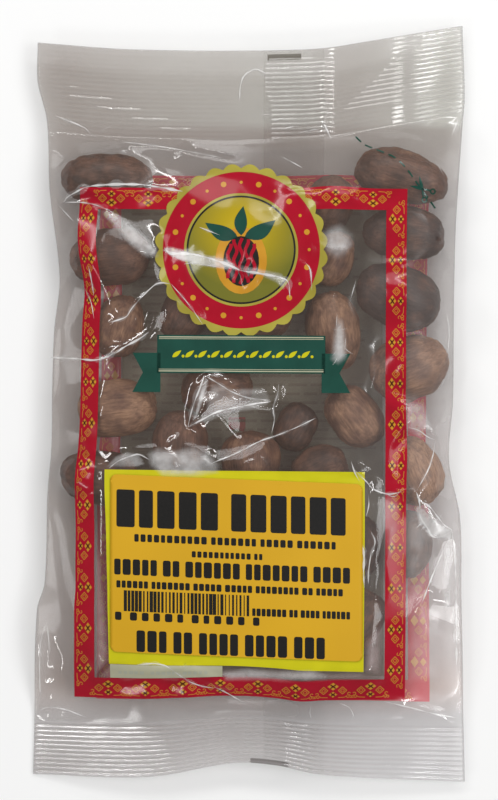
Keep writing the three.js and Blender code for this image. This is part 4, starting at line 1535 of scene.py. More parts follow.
leaves = leaf((cx - 1.0, cy + 3.5), (cx - 10.0, cy + 7.5), 4.2, 0.8)
leaves += leaf((cx + 1.0, cy + 3.5), (cx + 9.6, cy + 8.2), 4.2, -0.8)
leaves += leaf((cx, cy + 4.0), (cx + 0.6, cy + 12.2), 3.6, 0.4)
fruit = filled(oval((cx, cy - 3.0), *FRUIT_HALF))
kernel = filled(oval((cx, cy - 3.2), *KERNEL_HALF))
mace = []
for offset in MACE_STRANDS:
    reach = 6.4 * math.sqrt(1 - (offset / KERNEL_HALF[1]) ** 2)
    way = np.linspace(-reach, reach, 14)
    mace += stroke([(cx + offset + 0.5 * math.sin(1.1 * t + offset), cy - 3.2 + t) for t in way], MACE_WIDTH)
print("roundel:", BEADS, "beads and", len(MACE_STRANDS), "strands of mace")

# %% Shapes of the ribbon and the panel
RIBBON_CENTRE_Y, RIBBON_HEIGHT, RIBBON_HALF = 14.0, 10.6, 23.5
TAIL_LOW, TAIL_NOTCH, TAIL_HIGH = -RIBBON_HEIGHT / 2 - 5.4, -5.2, RIBBON_HEIGHT / 2 - 5.0
PANEL = [(-39.9, -18.1), (32.8, -18.8), (32.3, -74.5), (-38.7, -72.2)]
STRIP = [(-38.4, -72.2), (-7.0, -73.3), (-7.0, -76.4), (-38.4, -76.2)]

ribbon = bar(-RIBBON_HALF, -RIBBON_HEIGHT / 2, RIBBON_HALF, RIBBON_HEIGHT / 2)
for side in (-1, 1):
    near, notch, far = (side * (RIBBON_HALF + reach) for reach in (-1, 4.0, 7.0))
    tail = [(near, TAIL_LOW), (far, TAIL_LOW), (notch, TAIL_NOTCH), (far, TAIL_HIGH), (near, TAIL_HIGH)]
    ribbon += filled(tail)
ribbon = moved(ribbon, cx, RIBBON_CENTRE_Y, PRINT_TURN)
ribbon_lines = []
for y in (-1, 1):
    for inset, width in ((0.55, 0.3), (1.05, 0.16)):
        level = y * (RIBBON_HEIGHT / 2 - inset)
        ribbon_lines += bar(-RIBBON_HALF + 0.5, level - width / 2, RIBBON_HALF - 0.5, level + width / 2)
ribbon_lines = moved(ribbon_lines, cx, RIBBON_CENTRE_Y, PRINT_TURN)
sprig = []
for k in range(-5, 6):
    x = 3.6 * k
    sprig += leaf((x - 1.2, -0.9), (x + 1.3, 1.0), 1.2) + ring((x + 1.8, -0.6), 0, 0.42, 10)
sprig = moved(sprig, cx, RIBBON_CENTRE_Y, PRINT_TURN)

panel = filled(PANEL[::-1])
strip = filled(STRIP[::-1])
strip_blocks = []
for k, x in enumerate(np.arange(-36.0, -9.0, 1.5)):
    if k % 6 != 5:
        strip_blocks += bar(x, -75.0 - 0.03 * k, x + random.uniform(0.7, 1.2), -74.1 - 0.03 * k)
print("ribbon", len(ribbon), "pieces and", len(strip_blocks), "blocks under the panel")

# %% The dashed cutting line with its scissors
CUT_LINE = [
    (30.4, 75.2), (32.6, 72.8), (35.8, 71.3), (41.2, 68.9), (44.4, 65.6), (46.9, 62.0), (51.0, 56.8),
    (52.6, 54.5),
]
DASH, DASH_GAP, DASH_WIDTH = 2.2, 1.35, 0.45


def run_of(line):
    """How far along a polyline each of its corners is."""
    return np.r_[0, np.cumsum(np.hypot(*np.diff(line, axis=0).T))]


def points_at(line, at):
    """The points of a polyline that are `at` millimetres along it."""
    return np.c_[np.interp(at, run_of(line), line[:, 0]), np.interp(at, run_of(line), line[:, 1])]


def smooth_line(points, step):
    """A rounded polyline: the corners are cut twice and the result is resampled evenly."""
    line = np.array(points, float)
    for _ in range(2):
        cut = [line[0]]
        for a, b in zip(line[:-1], line[1:]):
            cut += [0.8 * a + 0.2 * b, 0.2 * a + 0.8 * b]
        line = np.array(cut + [line[-1]])
    length = run_of(line)[-1]
    return points_at(line, np.linspace(0, length, max(int(length / step), 3)))


def dashes(points, dash, gap, width):
    """Strokes of one length along a line."""
    line = smooth_line(points, 0.1)
    shapes = []
    for start in np.arange(0, run_of(line)[-1] - dash, dash + gap):
        shapes += stroke(points_at(line, np.linspace(start, start + dash, 4)), width)
    return shapes


def scissors():
    """Open scissors about their pivot, blades towards +Y."""
    shapes = []
    for side in (-1, 1):
        shapes += leaf((-0.25 * side, -0.6), (1.95 * side, 3.2), 0.85, 0.1 * side)
        shapes += stroke([(0.1 * side, 0.2), (-0.9 * side, -1.2), (-1.3 * side, -1.9)], 0.5)
        shapes += ring((-1.65 * side, -2.5), 0.45, 0.85, 16)
    return shapes


def on_flat(outline):
    """An outline in plan, as corners on the flat film."""
    return list(zip(*on_film(*np.array(outline).T)))


cut_mark = dashes(CUT_LINE, DASH, DASH_GAP, DASH_WIDTH) + moved(scissors(), 48.7, 60.1, 45)
cut_mark = [on_flat(shape) for shape in cut_mark]
print("cutting line", len(cut_mark), "pieces")

# %% The ink of the roundel's ground


def sunburst_ink(name, centre, reach, middle, edge):
    """An ink that fades evenly from a centre on the pack, in millimetres, outwards."""
    material, tree, shader = new_material(name)
    middle_at = ((centre[0] - middle_x) * MM, (centre[1] - middle_y) * MM, 0.0)
    place = add_node(tree, "ShaderNodeTexCoord").outputs["Object"]
    axes = add_node(tree, "ShaderNodeSeparateXYZ", Vector=place)
    level = add_node(tree, "ShaderNodeCombineXYZ", X=axes.outputs["X"], Y=axes.outputs["Y"])
    apart = add_node(tree, "ShaderNodeVectorMath", {"operation": "DISTANCE"}, _0=level.outputs[0])
    feed(tree, apart, _1=middle_at)
    fade = add_node(tree, "ShaderNodeMapRange", Value=apart.outputs["Value"], From_Max=reach * MM)
    colour = add_node(tree, "ShaderNodeMix", TWO_TONE, Factor=fade.outputs["Result"])
    feed(tree, colour, _6=linear(middle), _7=linear(edge))
    feed(tree, shader, Base_Color=colour.outputs[2], Roughness=0.14)
    return material


sunburst = sunburst_ink("sunburst_flexo_ink", (cx, cy + 6.0), 17.0, "#C6A806", "#727026")

# %% Lay the front print
FRONT_PRINT = [
    ("print_red", border, 0.04, red_ink, "red_ink"),
    ("print_lime", panel, 0.04, lime_ink, "lime_ink"),
    ("print_gold", ornament, 0.06, gold_ink, "gold_ink"),
    ("print_gold_crosses", ornament_crosses, 0.09, maroon_ink, "dark_ink"),
    ("roundel_red", roundel_red, 0.12, red_ink, "red_ink"),
    ("roundel_rim", roundel_gold + roundel_inner_gold, 0.15, olive_gold_ink, "gold_ink"),
    ("roundel_beads", beads, 0.15, gold_ink, "gold_ink"),
    ("roundel_ground", roundel_ground, 0.12, sunburst, "lime_ink"),
    ("roundel_fruit", fruit, 0.15, gold_ink, "gold_ink"),
    ("print_dark", roundel_dark + kernel, 0.18, dark_ink, "dark_ink"),
    ("roundel_mace", mace, 0.21, red_ink, "red_ink"),
    ("print_green", ribbon + cut_mark + leaves, 0.18, green_ink, "green_ink"),
    ("ribbon_sprig", sprig, 0.21, lime_ink, "lime_ink"),
    ("print_cream", ribbon_lines + strip, 0.21, cream_ink, "cream_ink"),
    ("strip_blocks", strip_blocks, 0.24, small_print_ink, "green_ink"),
]
lay_print(front, FRONT_PRINT)

# %% [markdown]
# ## Sharp folds
#
# Where polypropylene is folded sharply its crystals part and it turns milky white along the fold. Here the
# white fold lines also stand in for the highlights that the creases catch, so they are partly painted
# highlights. Each such line swells and thins a little along its length, runs out to a point and has a faint
# halo of painted glow. Patches of painted glare, white and blotched, stand in for light that crumpled film
# mirrors; each fades at its rim, and the whitest ones have small folds of their own. Beside and under the
# panel, a pink-white painted glow lightens the window.

# %% Whitened folds and painted highlights
# Fold lines drawn milky white, which also stand in for the highlights on the creases: partly painted
# highlights.
# Points in plan, and the greatest width of the line.
FOLD_HIGHLIGHTS = [
    ([(-51.2, 56.7), (-50.4, 58.1), (-48.2, 59.2), (-45.4, 60.5), (-42.6, 61.0), (-39.2, 61.3),
      (-35.0, 61.5), (-29.4, 61.3), (-23.8, 60.6), (-18.2, 59.6)], 0.73),
    ([(-53.2, 56.1), (-51.5, 54.5), (-48.4, 51.1)], 0.36),
    ([(-51.2, 56.7), (-46.5, 56.6), (-42.6, 55.9), (-38.6, 54.0)], 0.34),
    ([(-38.6, 22.8), (-36.1, 23.5), (-33.6, 24.4), (-32.5, 26.5), (-29.4, 30.1), (-25.8, 33.6),
      (-24.1, 34.0), (-21.3, 33.6)], 0.36),
    ([(-21.3, 33.6), (-17.9, 29.8), (-15.1, 26.2), (-12.3, 22.0)], 0.22),
    ([(-56.0, 13.3), (-51.8, 13.0), (-47.0, 12.7), (-42.0, 12.2), (-37.0, 14.1), (-34.2, 16.1),
      (-30.0, 18.3), (-27.4, 20.3)], 0.48),
    ([(-12.0, 8.0), (-13.4, 4.0), (-15.1, -0.4), (-16.5, -6.3)], 0.62),
    ([(-16.5, -6.3), (-13.2, -4.4), (-9.0, -2.1), (-4.2, -1.0), (0.6, -0.1), (6.7, 0.7)], 0.48),
    ([(-11.8, 8.0), (-7.8, 5.7), (-5.0, 3.8), (-0.6, 2.1), (3.4, 1.5), (7.0, 1.0)], 0.36),
    ([(8.7, 5.7), (8.4, 2.4), (7.0, -1.3), (7.6, -4.1), (6.7, -8.0)], 0.25),
    ([(-38.6, -17.8), (-36.4, -15.8), (-33.0, -14.4), (-30.2, -13.6), (-27.4, -15.3)], 0.42),
    ([(-10.1, -16.4), (-2.8, -13.6), (3.4, -10.2), (8.4, -8.6), (14.0, -6.3), (19.0, -3.8)], 0.31),
    ([(-23.5, 43.8), (-21.8, 42.1), (-18.5, 42.1), (-14.8, 41.9), (-10.6, 40.7), (-6.2, 39.3),
      (-2.0, 37.4)], 0.84),
    ([(-2.0, 37.4), (3.4, 36.5), (8.4, 35.7), (11.5, 34.6), (11.8, 29.8)], 0.62),
    ([(-13.4, 49.4), (-10.6, 48.3), (-7.8, 47.2)], 0.39),
    ([(28.8, -15.8), (29.7, -18.6), (31.1, -21.4)], 0.45),
    ([(29.7, -18.1), (32.5, -20.9), (35.3, -23.9), (39.2, -25.1), (43.1, -24.2)], 0.39),
    ([(47.0, -24.5), (47.9, -26.8), (50.7, -28.4), (52.9, -31.2), (54.9, -33.8), (57.1, -35.1)], 0.62),
    ([(47.3, -24.8), (48.2, -28.4), (47.9, -31.2), (50.4, -34.6), (51.5, -37.1), (54.3, -37.1),
      (57.1, -35.4)], 0.5),
    ([(57.1, -35.1), (58.2, -41.0), (58.2, -46.6), (58.5, -55.0), (58.8, -73.2)], 0.56),
    ([(56.6, -37.4), (53.2, -44.4), (48.7, -55.6)], 0.34),
    ([(52.4, -10.2), (51.8, -13.9), (50.4, -18.1), (47.0, -24.2)], 0.36),
    ([(-35.0, 73.5), (-28.0, 72.7), (-21.0, 71.8), (-14.0, 70.4), (-7.0, 69.0)], 0.36),
    ([(9.2, 69.6), (12.0, 68.2), (15.4, 66.2)], 0.36),
    ([(-56.3, -61.2), (-58.0, -65.7), (-58.5, -70.4), (-58.5, -83.6)], 0.28),
    ([(-56.3, -61.2), (-55.7, -66.2), (-55.7, -69.9)], 0.25),
    ([(-59.4, -86.7), (-56.0, -85.3), (-51.0, -86.1), (-47.6, -87.5), (-45.6, -88.1)], 0.31),
    ([(-30.8, -72.4), (-25.8, -72.0), (-22.4, -72.7), (-19.3, -74.9), (-16.0, -77.4), (-12.6, -78.6),
      (-9.5, -79.0)], 0.39),
    ([(-9.0, -78.8), (-6.2, -80.2), (-3.4, -81.9), (-1.1, -83.3)], 0.34),
    ([(38.4, -83.3), (44.8, -85.0), (51.8, -87.0), (58.5, -88.4)], 0.31),
    ([(-27.7, -83.0), (-27.2, -85.6)], 0.31),
    ([(17.9, -83.0), (17.4, -86.4), (17.9, -88.1)], 0.36),
    ([(-54.0, 81.3), (-50.4, 79.9), (-47.6, 78.8), (-45.4, 77.7), (-44.2, 76.0)], 0.31),
    ([(-41.2, 76.6), (-40.3, 77.7), (-38.6, 78.4)], 0.25),
    ([(57.4, 75.7), (58.5, 78.2), (59.6, 81.0)], 0.31),
    ([(30.2, 34.6), (28.6, 29.0)], 0.17),
    ([(16.0, 39.6), (17.6, 37.9), (17.9, 31.8)], 0.34),
    ([(-45.4, 32.6), (-43.7, 29.0), (-42.8, 23.9)], 0.28),
    ([(-44.2, 38.8), (-43.4, 34.6), (-42.8, 30.4)], 0.39),
    ([(52.4, 68.2), (54.6, 64.0)], 0.2),
    ([(-57.4, 29.0), (-55.4, 20.6), (-56.3, 14.4)], 0.25),
    ([(54.9, 29.0), (56.6, 20.6), (55.7, 12.2)], 0.22),
    ([(38.6, -24.8), (40.9, -25.9), (42.6, -23.9)], 0.56),
    ([(33.6, -25.1), (33.9, -27.9), (33.0, -31.2)], 0.39),
    ([(34.4, -35.4), (35.8, -38.2), (34.4, -41.6), (33.6, -46.6), (33.6, -50.0)], 0.36),
    ([(44.8, -6.3), (47.6, -6.9), (50.4, -9.1), (52.1, -9.7)], 0.39),
    ([(31.4, -38.2), (32.5, -41.6), (32.2, -46.6), (32.5, -51.1)], 0.62),
    ([(-2.2, 84.0), (-2.2, 89.0), (-1.2, 92.6), (2.3, 94.7), (5.6, 92.8), (6.8, 89.0)], 0.3),
    ([(10.1, 77.4), (12.3, 78.0), (14.3, 78.2)], 0.45),
    ([(14.8, 76.3), (18.5, 77.4), (21.6, 77.7)], 0.5),
    ([(19.0, 79.9), (21.3, 79.1), (22.4, 77.1), (23.5, 74.6)], 0.45),
    ([(7.3, 79.9), (10.6, 80.5)], 0.35),
    ([(3.4, 81.6), (7.0, 81.6)], 0.3),
    ([(22.1, 85.8), (22.1, 84.1)], 0.35),
    ([(22.4, 83.0), (22.4, 81.4)], 0.4),
    ([(9.2, -88.6), (11.2, -90.6), (13.2, -89.7)], 0.3),
    ([(25.8, -83.6), (28.6, -84.7), (30.0, -87.5), (28.6, -89.2)], 0.28),
]
FOLD_STEP = 0.7


def fold_line(points, width):
    """A line that swells and thins at random along its way and runs out at its ends."""
    line = smooth_line(points, FOLD_STEP)
    way = FOLD_STEP * np.arange(len(line))
    run_out = np.minimum(1, 0.1 + 0.35 * np.minimum(way, way[-1] - way))
    waves = ((1.5, 3.0), (0.5, 0.9))
    uneven = sum(np.sin(random.uniform(0, 6) + way / random.uniform(*wave)) for wave in waves)
    p, q = on_film(line[:, 0], line[:, 1])
    return stroke(np.c_[p, q], width * run_out * np.clip(0.6 + 0.35 * uneven, 0.12, 1.1))


def pale_overlay(name, alpha, low="#D8D4D0", high="#FFFFFF"):
    """Pale film laid over the film, for milky folds, painted highlights, painted glare and painted glow; with
    no alpha given, as strong as its points' fade says.
    """
    material, tree, shader, place = mottled(name, low, high, 700.0, 2.0, Roughness=0.2, IOR=1.8)
    if alpha is not None:
        feed(tree, shader, Alpha=alpha)
        return material
    fade = add_node(tree, "ShaderNodeAttribute", {"attribute_name": "fade"}).outputs["Fac"]
    blotch = add_node(tree, "ShaderNodeTexNoise", Vector=place, Scale=260.0, Detail=6.0)
    patchy = add_node(tree, "ShaderNodeMapRange", Value=blotch.outputs["Fac"])
    feed(tree, patchy, From_Min=0.3, From_Max=0.7, To_Min=0.5, To_Max=1.1)
    share = add_node(tree, "ShaderNodeMath", PRODUCT, _0=fade, _1=patchy.outputs[0])
    feed(tree, shader, Alpha=share.outputs[0])
    return material


# %% Patches of painted glare
# Painted glare: whitish patches that stand in for light mirrored by crumpled film; corners in plan, how white
# it is, and how far in its edge fades.
GLARE_PATCHES = [
    ([(-41.7, 53.9), (-39.2, 54.7), (-35.8, 53.3), (-30.2, 49.1), (-25.2, 44.1), (-24.4, 40.7),
      (-28.6, 40.7), (-33.0, 44.1), (-37.0, 48.9)], 0.42, 1.4),
    ([(-24.1, 43.0), (-22.4, 44.4), (-19.6, 43.8), (-14.0, 42.1), (-7.8, 41.3), (-3.4, 39.3), (-3.4, 37.7),
      (-9.0, 37.9), (-15.1, 38.8), (-20.7, 40.7)], 0.62, 0.7),
    ([(-2.5, 39.1), (3.4, 37.9), (9.5, 36.8), (11.2, 34.6), (10.6, 31.2), (8.1, 33.7), (3.4, 36.0),
      (-2.5, 37.1)], 0.34, 0.7),
    ([(20.2, 48.0), (22.4, 50.3), (26.3, 51.1), (29.7, 48.0), (30.2, 44.7), (28.0, 41.3), (24.6, 39.6),
      (21.3, 42.4)], 0.5, 3.4),
    ([(-16.0, -6.6), (-14.3, -0.1), (-12.3, 7.7), (-10.6, 6.9), (-11.8, 2.1), (-13.7, -3.5)], 0.62, 0.7),
    ([(-10.4, 6.3), (-3.9, 4.6), (3.4, 4.9), (6.2, 3.2), (6.4, -0.1), (1.7, -1.8), (-5.0, -2.7),
      (-12.9, -5.8), (-11.2, 1.0)], 0.26, 1.1),
    ([(24.6, 25.1), (26.9, 23.7), (28.0, 17.8), (28.0, 12.7), (25.5, 10.5), (22.7, 12.2), (23.2, 17.2)],
      0.62, 2.2),
    ([(-28.6, -13.6), (-25.2, -11.4), (-20.2, -12.2), (-15.1, -11.1), (-10.6, -12.8), (-7.3, -16.7),
      (-7.8, -19.5), (-14.0, -20.6), (-23.5, -20.6), (-27.4, -17.5)], 0.52, 2.4),
    ([(-39.8, -17.5), (-37.0, -14.4), (-33.6, -13.0), (-30.0, -13.6), (-28.3, -16.7), (-30.8, -17.5),
      (-35.3, -17.5)], 0.36, 0.7),
    ([(46.8, -27.9), (48.7, -28.7), (51.5, -31.2), (54.9, -33.5), (58.0, -35.1), (57.4, -38.5),
      (54.0, -37.7), (50.4, -36.3), (47.6, -33.2)], 0.66, 0.8),
    ([(54.9, -39.6), (57.7, -39.4), (58.2, -48.0), (57.4, -56.2), (55.4, -58.4), (54.3, -52.2)], 0.4, 0.9),
    ([(-7.3, -74.1), (0.0, -73.0), (8.4, -73.8), (17.4, -73.5), (22.7, -74.9), (22.7, -77.2),
      (-6.7, -77.4)], 0.4, 1.6),
    ([(36.4, -25.4), (41.4, -23.7), (43.1, -27.0), (42.6, -35.4), (40.9, -43.8), (38.1, -42.7),
      (37.0, -33.8)], 0.2, 2.6),
    ([(43.5, 1.8), (49.5, 0.8), (52.0, -6.0), (48.5, -9.8), (44.0, -7.6)], 0.42, 2.0),
    ([(44.5, -50.0), (52.0, -44.0), (55.5, -60.0), (54.5, -78.5), (44.5, -78.5)], 0.14, 3.0),
    ([(43.5, -27.0), (50.0, -26.0), (54.0, -38.0), (52.0, -50.0), (43.5, -52.0)], 0.17, 3.0),
]


def crinkles(outline, count):
    """Short random folds inside an outline."""
    low, high = np.min(outline, axis=0), np.max(outline, axis=0)
    lines = []
    while len(lines) < count:
        middle = random.uniform(low, high)
        turn, reach = random.uniform(0, math.pi), random.uniform(0.8, 2.2)
        if within(*middle, outline, 0):
            ahead = reach * np.array([math.cos(turn), math.sin(turn)])
            bent = middle + random.normal(0, 0.35, 2)
            lines.append(([middle - ahead, bent, middle + ahead], random.uniform(0.2, 0.5)))
    return lines


def store_fade(piece, patches):
    """Stores on each point how white its patch of painted light is there, fading to nothing at the patch's
    outline.
    """
    points = np.empty(len(piece.data.vertices) * 3, np.float32)
    piece.data.vertices.foreach_get("co", points)
    x, y = points.reshape(-1, 3)[:, :2].T / MM + np.array([[middle_x], [middle_y]])
    fade = np.zeros(len(x))
    for outline, painted_light, soft in patches:
        gap, inside = np.full(len(x), np.inf), np.zeros(len(x), bool)
        for (ax, ay), (bx, by) in zip(outline, outline[1:] + outline[:1]):
            dx, dy = bx - ax, by - ay
            along = np.clip(((x - ax) * dx + (y - ay) * dy) / (dx * dx + dy * dy), 0, 1)
            gap = np.minimum(gap, np.hypot(x - ax - along * dx, y - ay - along * dy))
            if dy:
                inside ^= ((ay > y) != (by > y)) & (x < ax + (y - ay) * dx / dy)
        fade = np.maximum(fade, painted_light * smooth_step(gap, 0, soft) * inside)
    store(piece.data, "fade", fade)


# %% Lay the painted glow, the painted glare and the folds with their painted highlights
HALO_SPREAD = 3.2  # how much wider a halo is than its fold
CRINKLED_ABOVE, CRINKLES = 0.61, 7  # a patch whiter than this gets so many small folds
GLOW_STRENGTH, GLOW_SOFTNESS = 0.36, 2.0
# Painted glow: pink-white film beside and under the panel, standing in for light shining through the back's
# red border: corners on the flat film.
PAINTED_GLOW_WINDOW = [
    [(-42.9, -36.0), (-41.4, -36.0), (-38.6, -66.0), (-38.6, -72.0), (-43.2, -77.0)],
    [(-43.2, -77.0), (-38.6, -72.0), (32.3, -74.5), (37.6, -76.8)],
    [(32.3, -74.5), (32.5, -66.0), (38.0, -60.0), (37.6, -76.8)],
]

glare_crinkles, fold_highlight_shapes, painted_halo_shapes = [], [], []
# small white folds inside the whitest patches of painted glare
for outline, painted_light, _ in GLARE_PATCHES:
    if painted_light > CRINKLED_ABOVE:
        glare_crinkles += crinkles(outline, CRINKLES)
for points, width in FOLD_HIGHLIGHTS + glare_crinkles:
    fold_highlight_shapes += fold_line(points, width)
    painted_halo_shapes += fold_line(points, HALO_SPREAD * width)
glow_shapes = [shape for outline in PAINTED_GLOW_WINDOW for shape in filled(outline)]
glare_shapes = [shape for outline, _, _ in GLARE_PATCHES for shape in filled(on_flat(outline))]

# painted glow: faint white halos round the fold lines
print_on("fold_halos", front, painted_halo_shapes, 0.24, pale_overlay("painted_halo_film", 0.13), "film")
# painted glow: a pink-white sheet that lightens the window beside and under the panel
painted_glow_film = pale_overlay("painted_glow_film", None, "#CFB4B2", "#E6D2D0")
glow_window = print_on("milky_window", front, glow_shapes, 0.02, painted_glow_film, "film")
glow_outlines = [list(zip(*plan_of(*np.array(outline).T))) for outline in PAINTED_GLOW_WINDOW]
store_fade(glow_window, [(outline, GLOW_STRENGTH, GLOW_SOFTNESS) for outline in glow_outlines])
# painted glare: whitish patches where crumpled film would mirror light
painted_light = print_on("crumpled_patches", front, glare_shapes, 0.255, pale_overlay("painted_glare_film", None), "film")
store_fade(painted_light, GLARE_PATCHES)
# milky fold lines, which are partly painted highlights
print_on("folds", front, fold_highlight_shapes, 0.27, pale_overlay("milky_folds_with_painted_highlights", 0.7), "film")

# %% [markdown]
# ## The back of the pack
#
# The back has the same border, moved a little, a pale panel with rows of bars where small print goes, and
# the fin: the two long edges of the film, welded face to face and folded flat over the back.

# %% Back print
BACK_CENTRE = (4.6, -9.3)
BACK_WIDTH, BACK_LENGTH = 94.0, 148.0
BACK_PANEL = (-35.9, -76.6, 38.5, 58.0)
BACK_BLOCK = (-5.4, -7.6, -0.6, -3.6)
PRINT_ROWS, ROW_STEP, ROW_TOP, ROW_HALF = 50, 2.55, 54.0, 0.4
ROW_START, ROW_END, RAGGED, WORD_GAP = -33.0, 37.0, 12.0, 1.1

back_place = {"dx": BACK_CENTRE[0], "dy": BACK_CENTRE[1], "turn": PRINT_TURN}
back_border = moved(border_shapes(BACK_WIDTH, BACK_LENGTH, BORDER_BAND), **back_place)
back_ornament = moved(border_ornament(BACK_WIDTH, BACK_LENGTH, BORDER_BAND, cluster), **back_place)
small_print = []
for row in range(PRINT_ROWS):
    level = ROW_TOP - ROW_STEP * row
    end = ROW_END - RAGGED * random.random()
    start = ROW_START
    while start < end - 4:
        word = random.uniform(2.5, 9.0)
        small_print += bar(start, level - ROW_HALF, min(start + word, end), level + ROW_HALF)
        start += word + WORD_GAP
eye_marks = bar(5.6, 102.2, 15.1, 103.9) + bar(0.8, -105.0, 11.5, -103.3)
BACK_PRINT = [
    ("back_print_red", back_border, -0.04, thin_red_ink, "red_ink"),
    ("back_print_gold", back_ornament, -0.07, pale_gold_ink, "gold_ink"),
    ("back_print_block", bar(*BACK_BLOCK), 0.06, thin_red_ink, "red_ink"),
    ("back_print_cream", bar(*BACK_PANEL), 0.09, panel_ink, "cream_ink"),
    ("back_small_print", small_print, 0.06, small_print_ink, "green_ink"),
    ("back_print_dark", eye_marks, 0.06, dark_ink, "dark_ink"),
]
lay_print(back, BACK_PRINT)

# %% Fin seal
FIN_LEFT, FIN_RIGHT = 4.5, 22.3
FIN_LAYERS = (0.16, 0.28)  # how far its two skins are off the back film

here = (columns >= FIN_LEFT) & (columns <= FIN_RIGHT)
fin_skins = [back.points[:, here] + back.normals[:, here] * layer * MM for layer in FIN_LAYERS]
fin_points, fin_faces = closed_bag(*fin_skins)
fin = mesh_object("fin_seal", fin_points, fin_faces, film("fin_seal_film", 0.05, 1.8))
# painted highlight and shade on the fin's ribs, and the whole fin a little less hazy
store_haze_and_sheen(fin, plan_x[:, here], plan_y[:, here], 0.1 * ridge[:, here] - 0.1)
stand_for(fin, "pack", "film")
print("fin seal", len(fin_faces), "faces")

# %% [markdown]
# ## The sticker
#
# A thermal label: semi-gloss yellow paper, faintly fibrous, with dull black print. Its words are left as rows
# of plain blocks, and its barcode is a row of bars with seeded widths, made by a Geometry Nodes tree.

# %% The paper of the sticker
LABEL_CORNER = 1.8
LABEL_CELL = 1.0
LABEL_LIFT, LABEL_PAPER = 0.28, 0.12  # of its underside off the dome, and its thickness

label_sides = [np.linspace(-size / 2, size / 2, round(size / LABEL_CELL) + 1) for size in LABEL_SIZE]
label_x, label_y = label_place(*np.meshgrid(*label_sides))
label_points = in_space(label_x, label_y, label_dome(label_x, label_y) + LABEL_LIFT)
label_skin = Skin(*label_sides, label_points, 1)


def rounded_bar(x, y, radius, steps=8):
    """A rectangle about the origin with round corners, as an outline."""
    outline = []
    for corner, (sx, sy) in enumerate(((1, 1), (-1, 1), (-1, -1), (1, -1))):
        for k in range(steps + 1):
            angle = math.pi / 2 * (corner + k / steps)
            across = sx * (x - radius) + radius * math.cos(angle)
            outline.append((across, sy * (y - radius) + radius * math.sin(angle)))
    return outline


paper, tree, shader, where = mottled("yellow_label_paper", "#C6970C", "#D7A614", 45.0, 2.0)
fibre = add_node(tree, "ShaderNodeTexNoise", Vector=where, Scale=900.0, Detail=5.0)
bump = add_node(tree, "ShaderNodeBump", Height=fibre.outputs["Fac"], Strength=0.25, Distance=0.05 * MM)
feed(tree, shader, Roughness=0.55, Specular_IOR_Level=0.3, Normal=bump.outputs[0])

sheet = filled(rounded_bar(LABEL_SIZE[0] / 2, LABEL_SIZE[1] / 2, LABEL_CORNER))
top_points, top_faces, _ = lay_on(label_skin, sheet, LABEL_PAPER)
low_points, low_faces, _ = lay_on(label_skin, sheet, 0.0)
count = len(top_points)
edges = dict.fromkeys((a, b) for face in top_faces for a, b in zip(face, face[1:] + face[:1]))
walls = [[b, a, a + count, b + count] for a, b in edges if (b, a) not in edges]
sticker_faces = top_faces + [[v + count for v in face[::-1]] for face in low_faces] + walls
sticker = mesh_object("sticker", np.array(top_points + low_points), sticker_faces, paper)
stand_for(sticker, "label", "label_paper")
print("sticker", len(sticker_faces), "faces", len(walls), "edge walls")

# %% Print on the sticker
# Each row: middle height, height of the blocks, start, end, blocks in each group, and the gap between blocks.
TEXT_ROWS = [
    (15.4, 10.4, -33.4, 30.4, (5, 6), 0.26),
    (7.3, 2.1, -28.4, 27.6, (11, 7, 5, 6), 0.4),
    (3.4, 1.7, -12.4, 7.2, (11, 2), 0.45),
    (-0.9, 4.4, -34.0, 31.6, (5, 2, 6, 7, 4), 0.28),
    (-5.7, 2.0, -33.4, 29.6, (6, 7, 5, 5, 8, 2, 5), 0.3),
    (-12.0, 2.1, 4.4, 31.6, (7, 2, 4, 6), 0.28),
    (-14.6, 2.3, -33.8, 6.4, (1, 5, 5, 1), 0.75),
    (-21.4, 6.0, -27.8, 24.6, (3, 2, 4, 4, 3), 0.28),
]
BARCODE = (-30.9, -13.2, 3.2, -7.4)


def block_row(level, height, start, end, groups, gap):
    """Blocks in word-like groups, without any letter's shape."""
    widths, gaps = [], []
    for group in groups:
        for k in range(group):
            widths.append(random.uniform(0.85, 1.15))
            gaps.append(gap if k < group - 1 else gap + 0.55)
    unit = (end - start) / (sum(widths) + sum(gaps[:-1]))
    shapes, x = [], start
    for width, gap in zip(widths, gaps):
        wide = width * unit
        block = filled(rounded_bar(wide / 2, height / 2, min(0.25 * wide, 0.6), 3))
        shapes += moved(block, x + wide / 2, level)
        x += wide + gap * unit
    return shapes


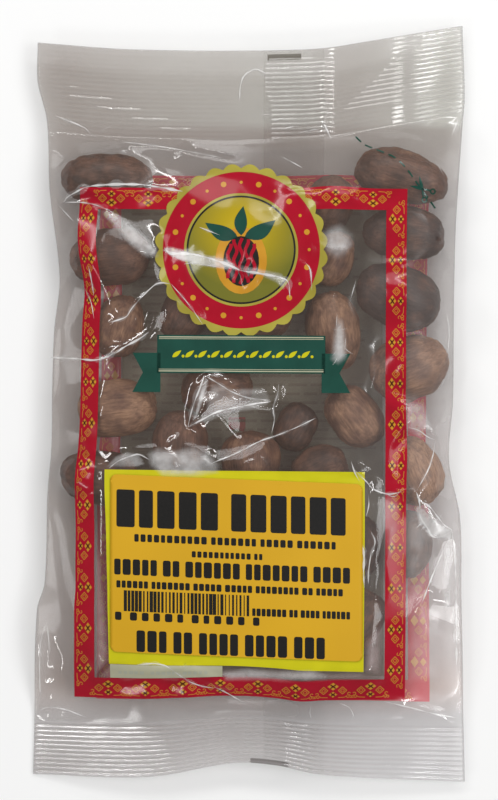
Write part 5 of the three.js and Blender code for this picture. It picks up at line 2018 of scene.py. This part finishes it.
def barcode_tree(material):
    """Upright bars side by side; each bar's width is a seeded share of its slot."""
    inputs = {
        "Width": ("NodeSocketFloat", 34.0),
        "Height": ("NodeSocketFloat", 7.6),
        "Bars": ("NodeSocketInt", 34),
        "Seed": ("NodeSocketInt", 3),
    }
    tree, given, made = new_tree("bar_row", inputs)
    width, bars = given.outputs["Width"], given.outputs["Bars"]
    end = add_node(tree, "ShaderNodeCombineXYZ", X=width)
    line = add_node(tree, "GeometryNodeMeshLine", {"mode": "END_POINTS"}, Count=bars, Offset=end.outputs[0])
    slot_width = add_node(tree, "ShaderNodeMath", {"operation": "DIVIDE"}, _0=width, _1=bars)
    share = add_node(tree, "FunctionNodeRandomValue", {"data_type": "FLOAT"}, Seed=given.outputs["Seed"])
    feed(tree, share, _2=0.24, _3=0.95)
    wide = add_node(tree, "ShaderNodeMath", PRODUCT, _0=slot_width.outputs[0], _1=share.outputs[1])
    size = add_node(tree, "ShaderNodeCombineXYZ", X=wide.outputs[0], Y=given.outputs["Height"], Z=1.0)
    unit = add_node(tree, "GeometryNodeMeshGrid", Size_X=1.0, Size_Y=1.0, Vertices_X=2, Vertices_Y=2)
    copies = add_node(tree, "GeometryNodeInstanceOnPoints", Points=line.outputs[0], Instance=unit.outputs[0])
    feed(tree, copies, Scale=size.outputs[0])
    end_tree(tree, made, copies.outputs[0], material)
    return tree


thermal, tree, shader, _ = mottled("black_thermal_print", "#080706", "#1A1714", 1500.0, 2.0)
feed(tree, shader, Roughness=0.5, Specular_IOR_Level=0.25)

text_shapes = []
for row in TEXT_ROWS:
    text_shapes += block_row(*row)
carrier = flat_object("carrier", bar(0, 0, 1, 1))
x0, y0, x1, y1 = BARCODE
code = apply_tree(carrier, barcode_tree(thermal), {"Width": x1 - x0, "Height": y1 - y0})
text_shapes += moved(polygons_of(code), x0, (y0 + y1) / 2)
drop(carrier)
print_on("sticker_print", label_skin, text_shapes, LABEL_PAPER + 0.04, thermal, "label_print", "label")

# %% [markdown]
# ## Print the sizes and finish
#
# The box of the imported model and the box of the finished one are written side by side, as plain numbers.

# %% Write the sizes and finish
boxes = [[[float(v) for v in corner] for corner in box] for box in (cad_box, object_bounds())]
print("cad", boxes[0], "visual", boxes[1])
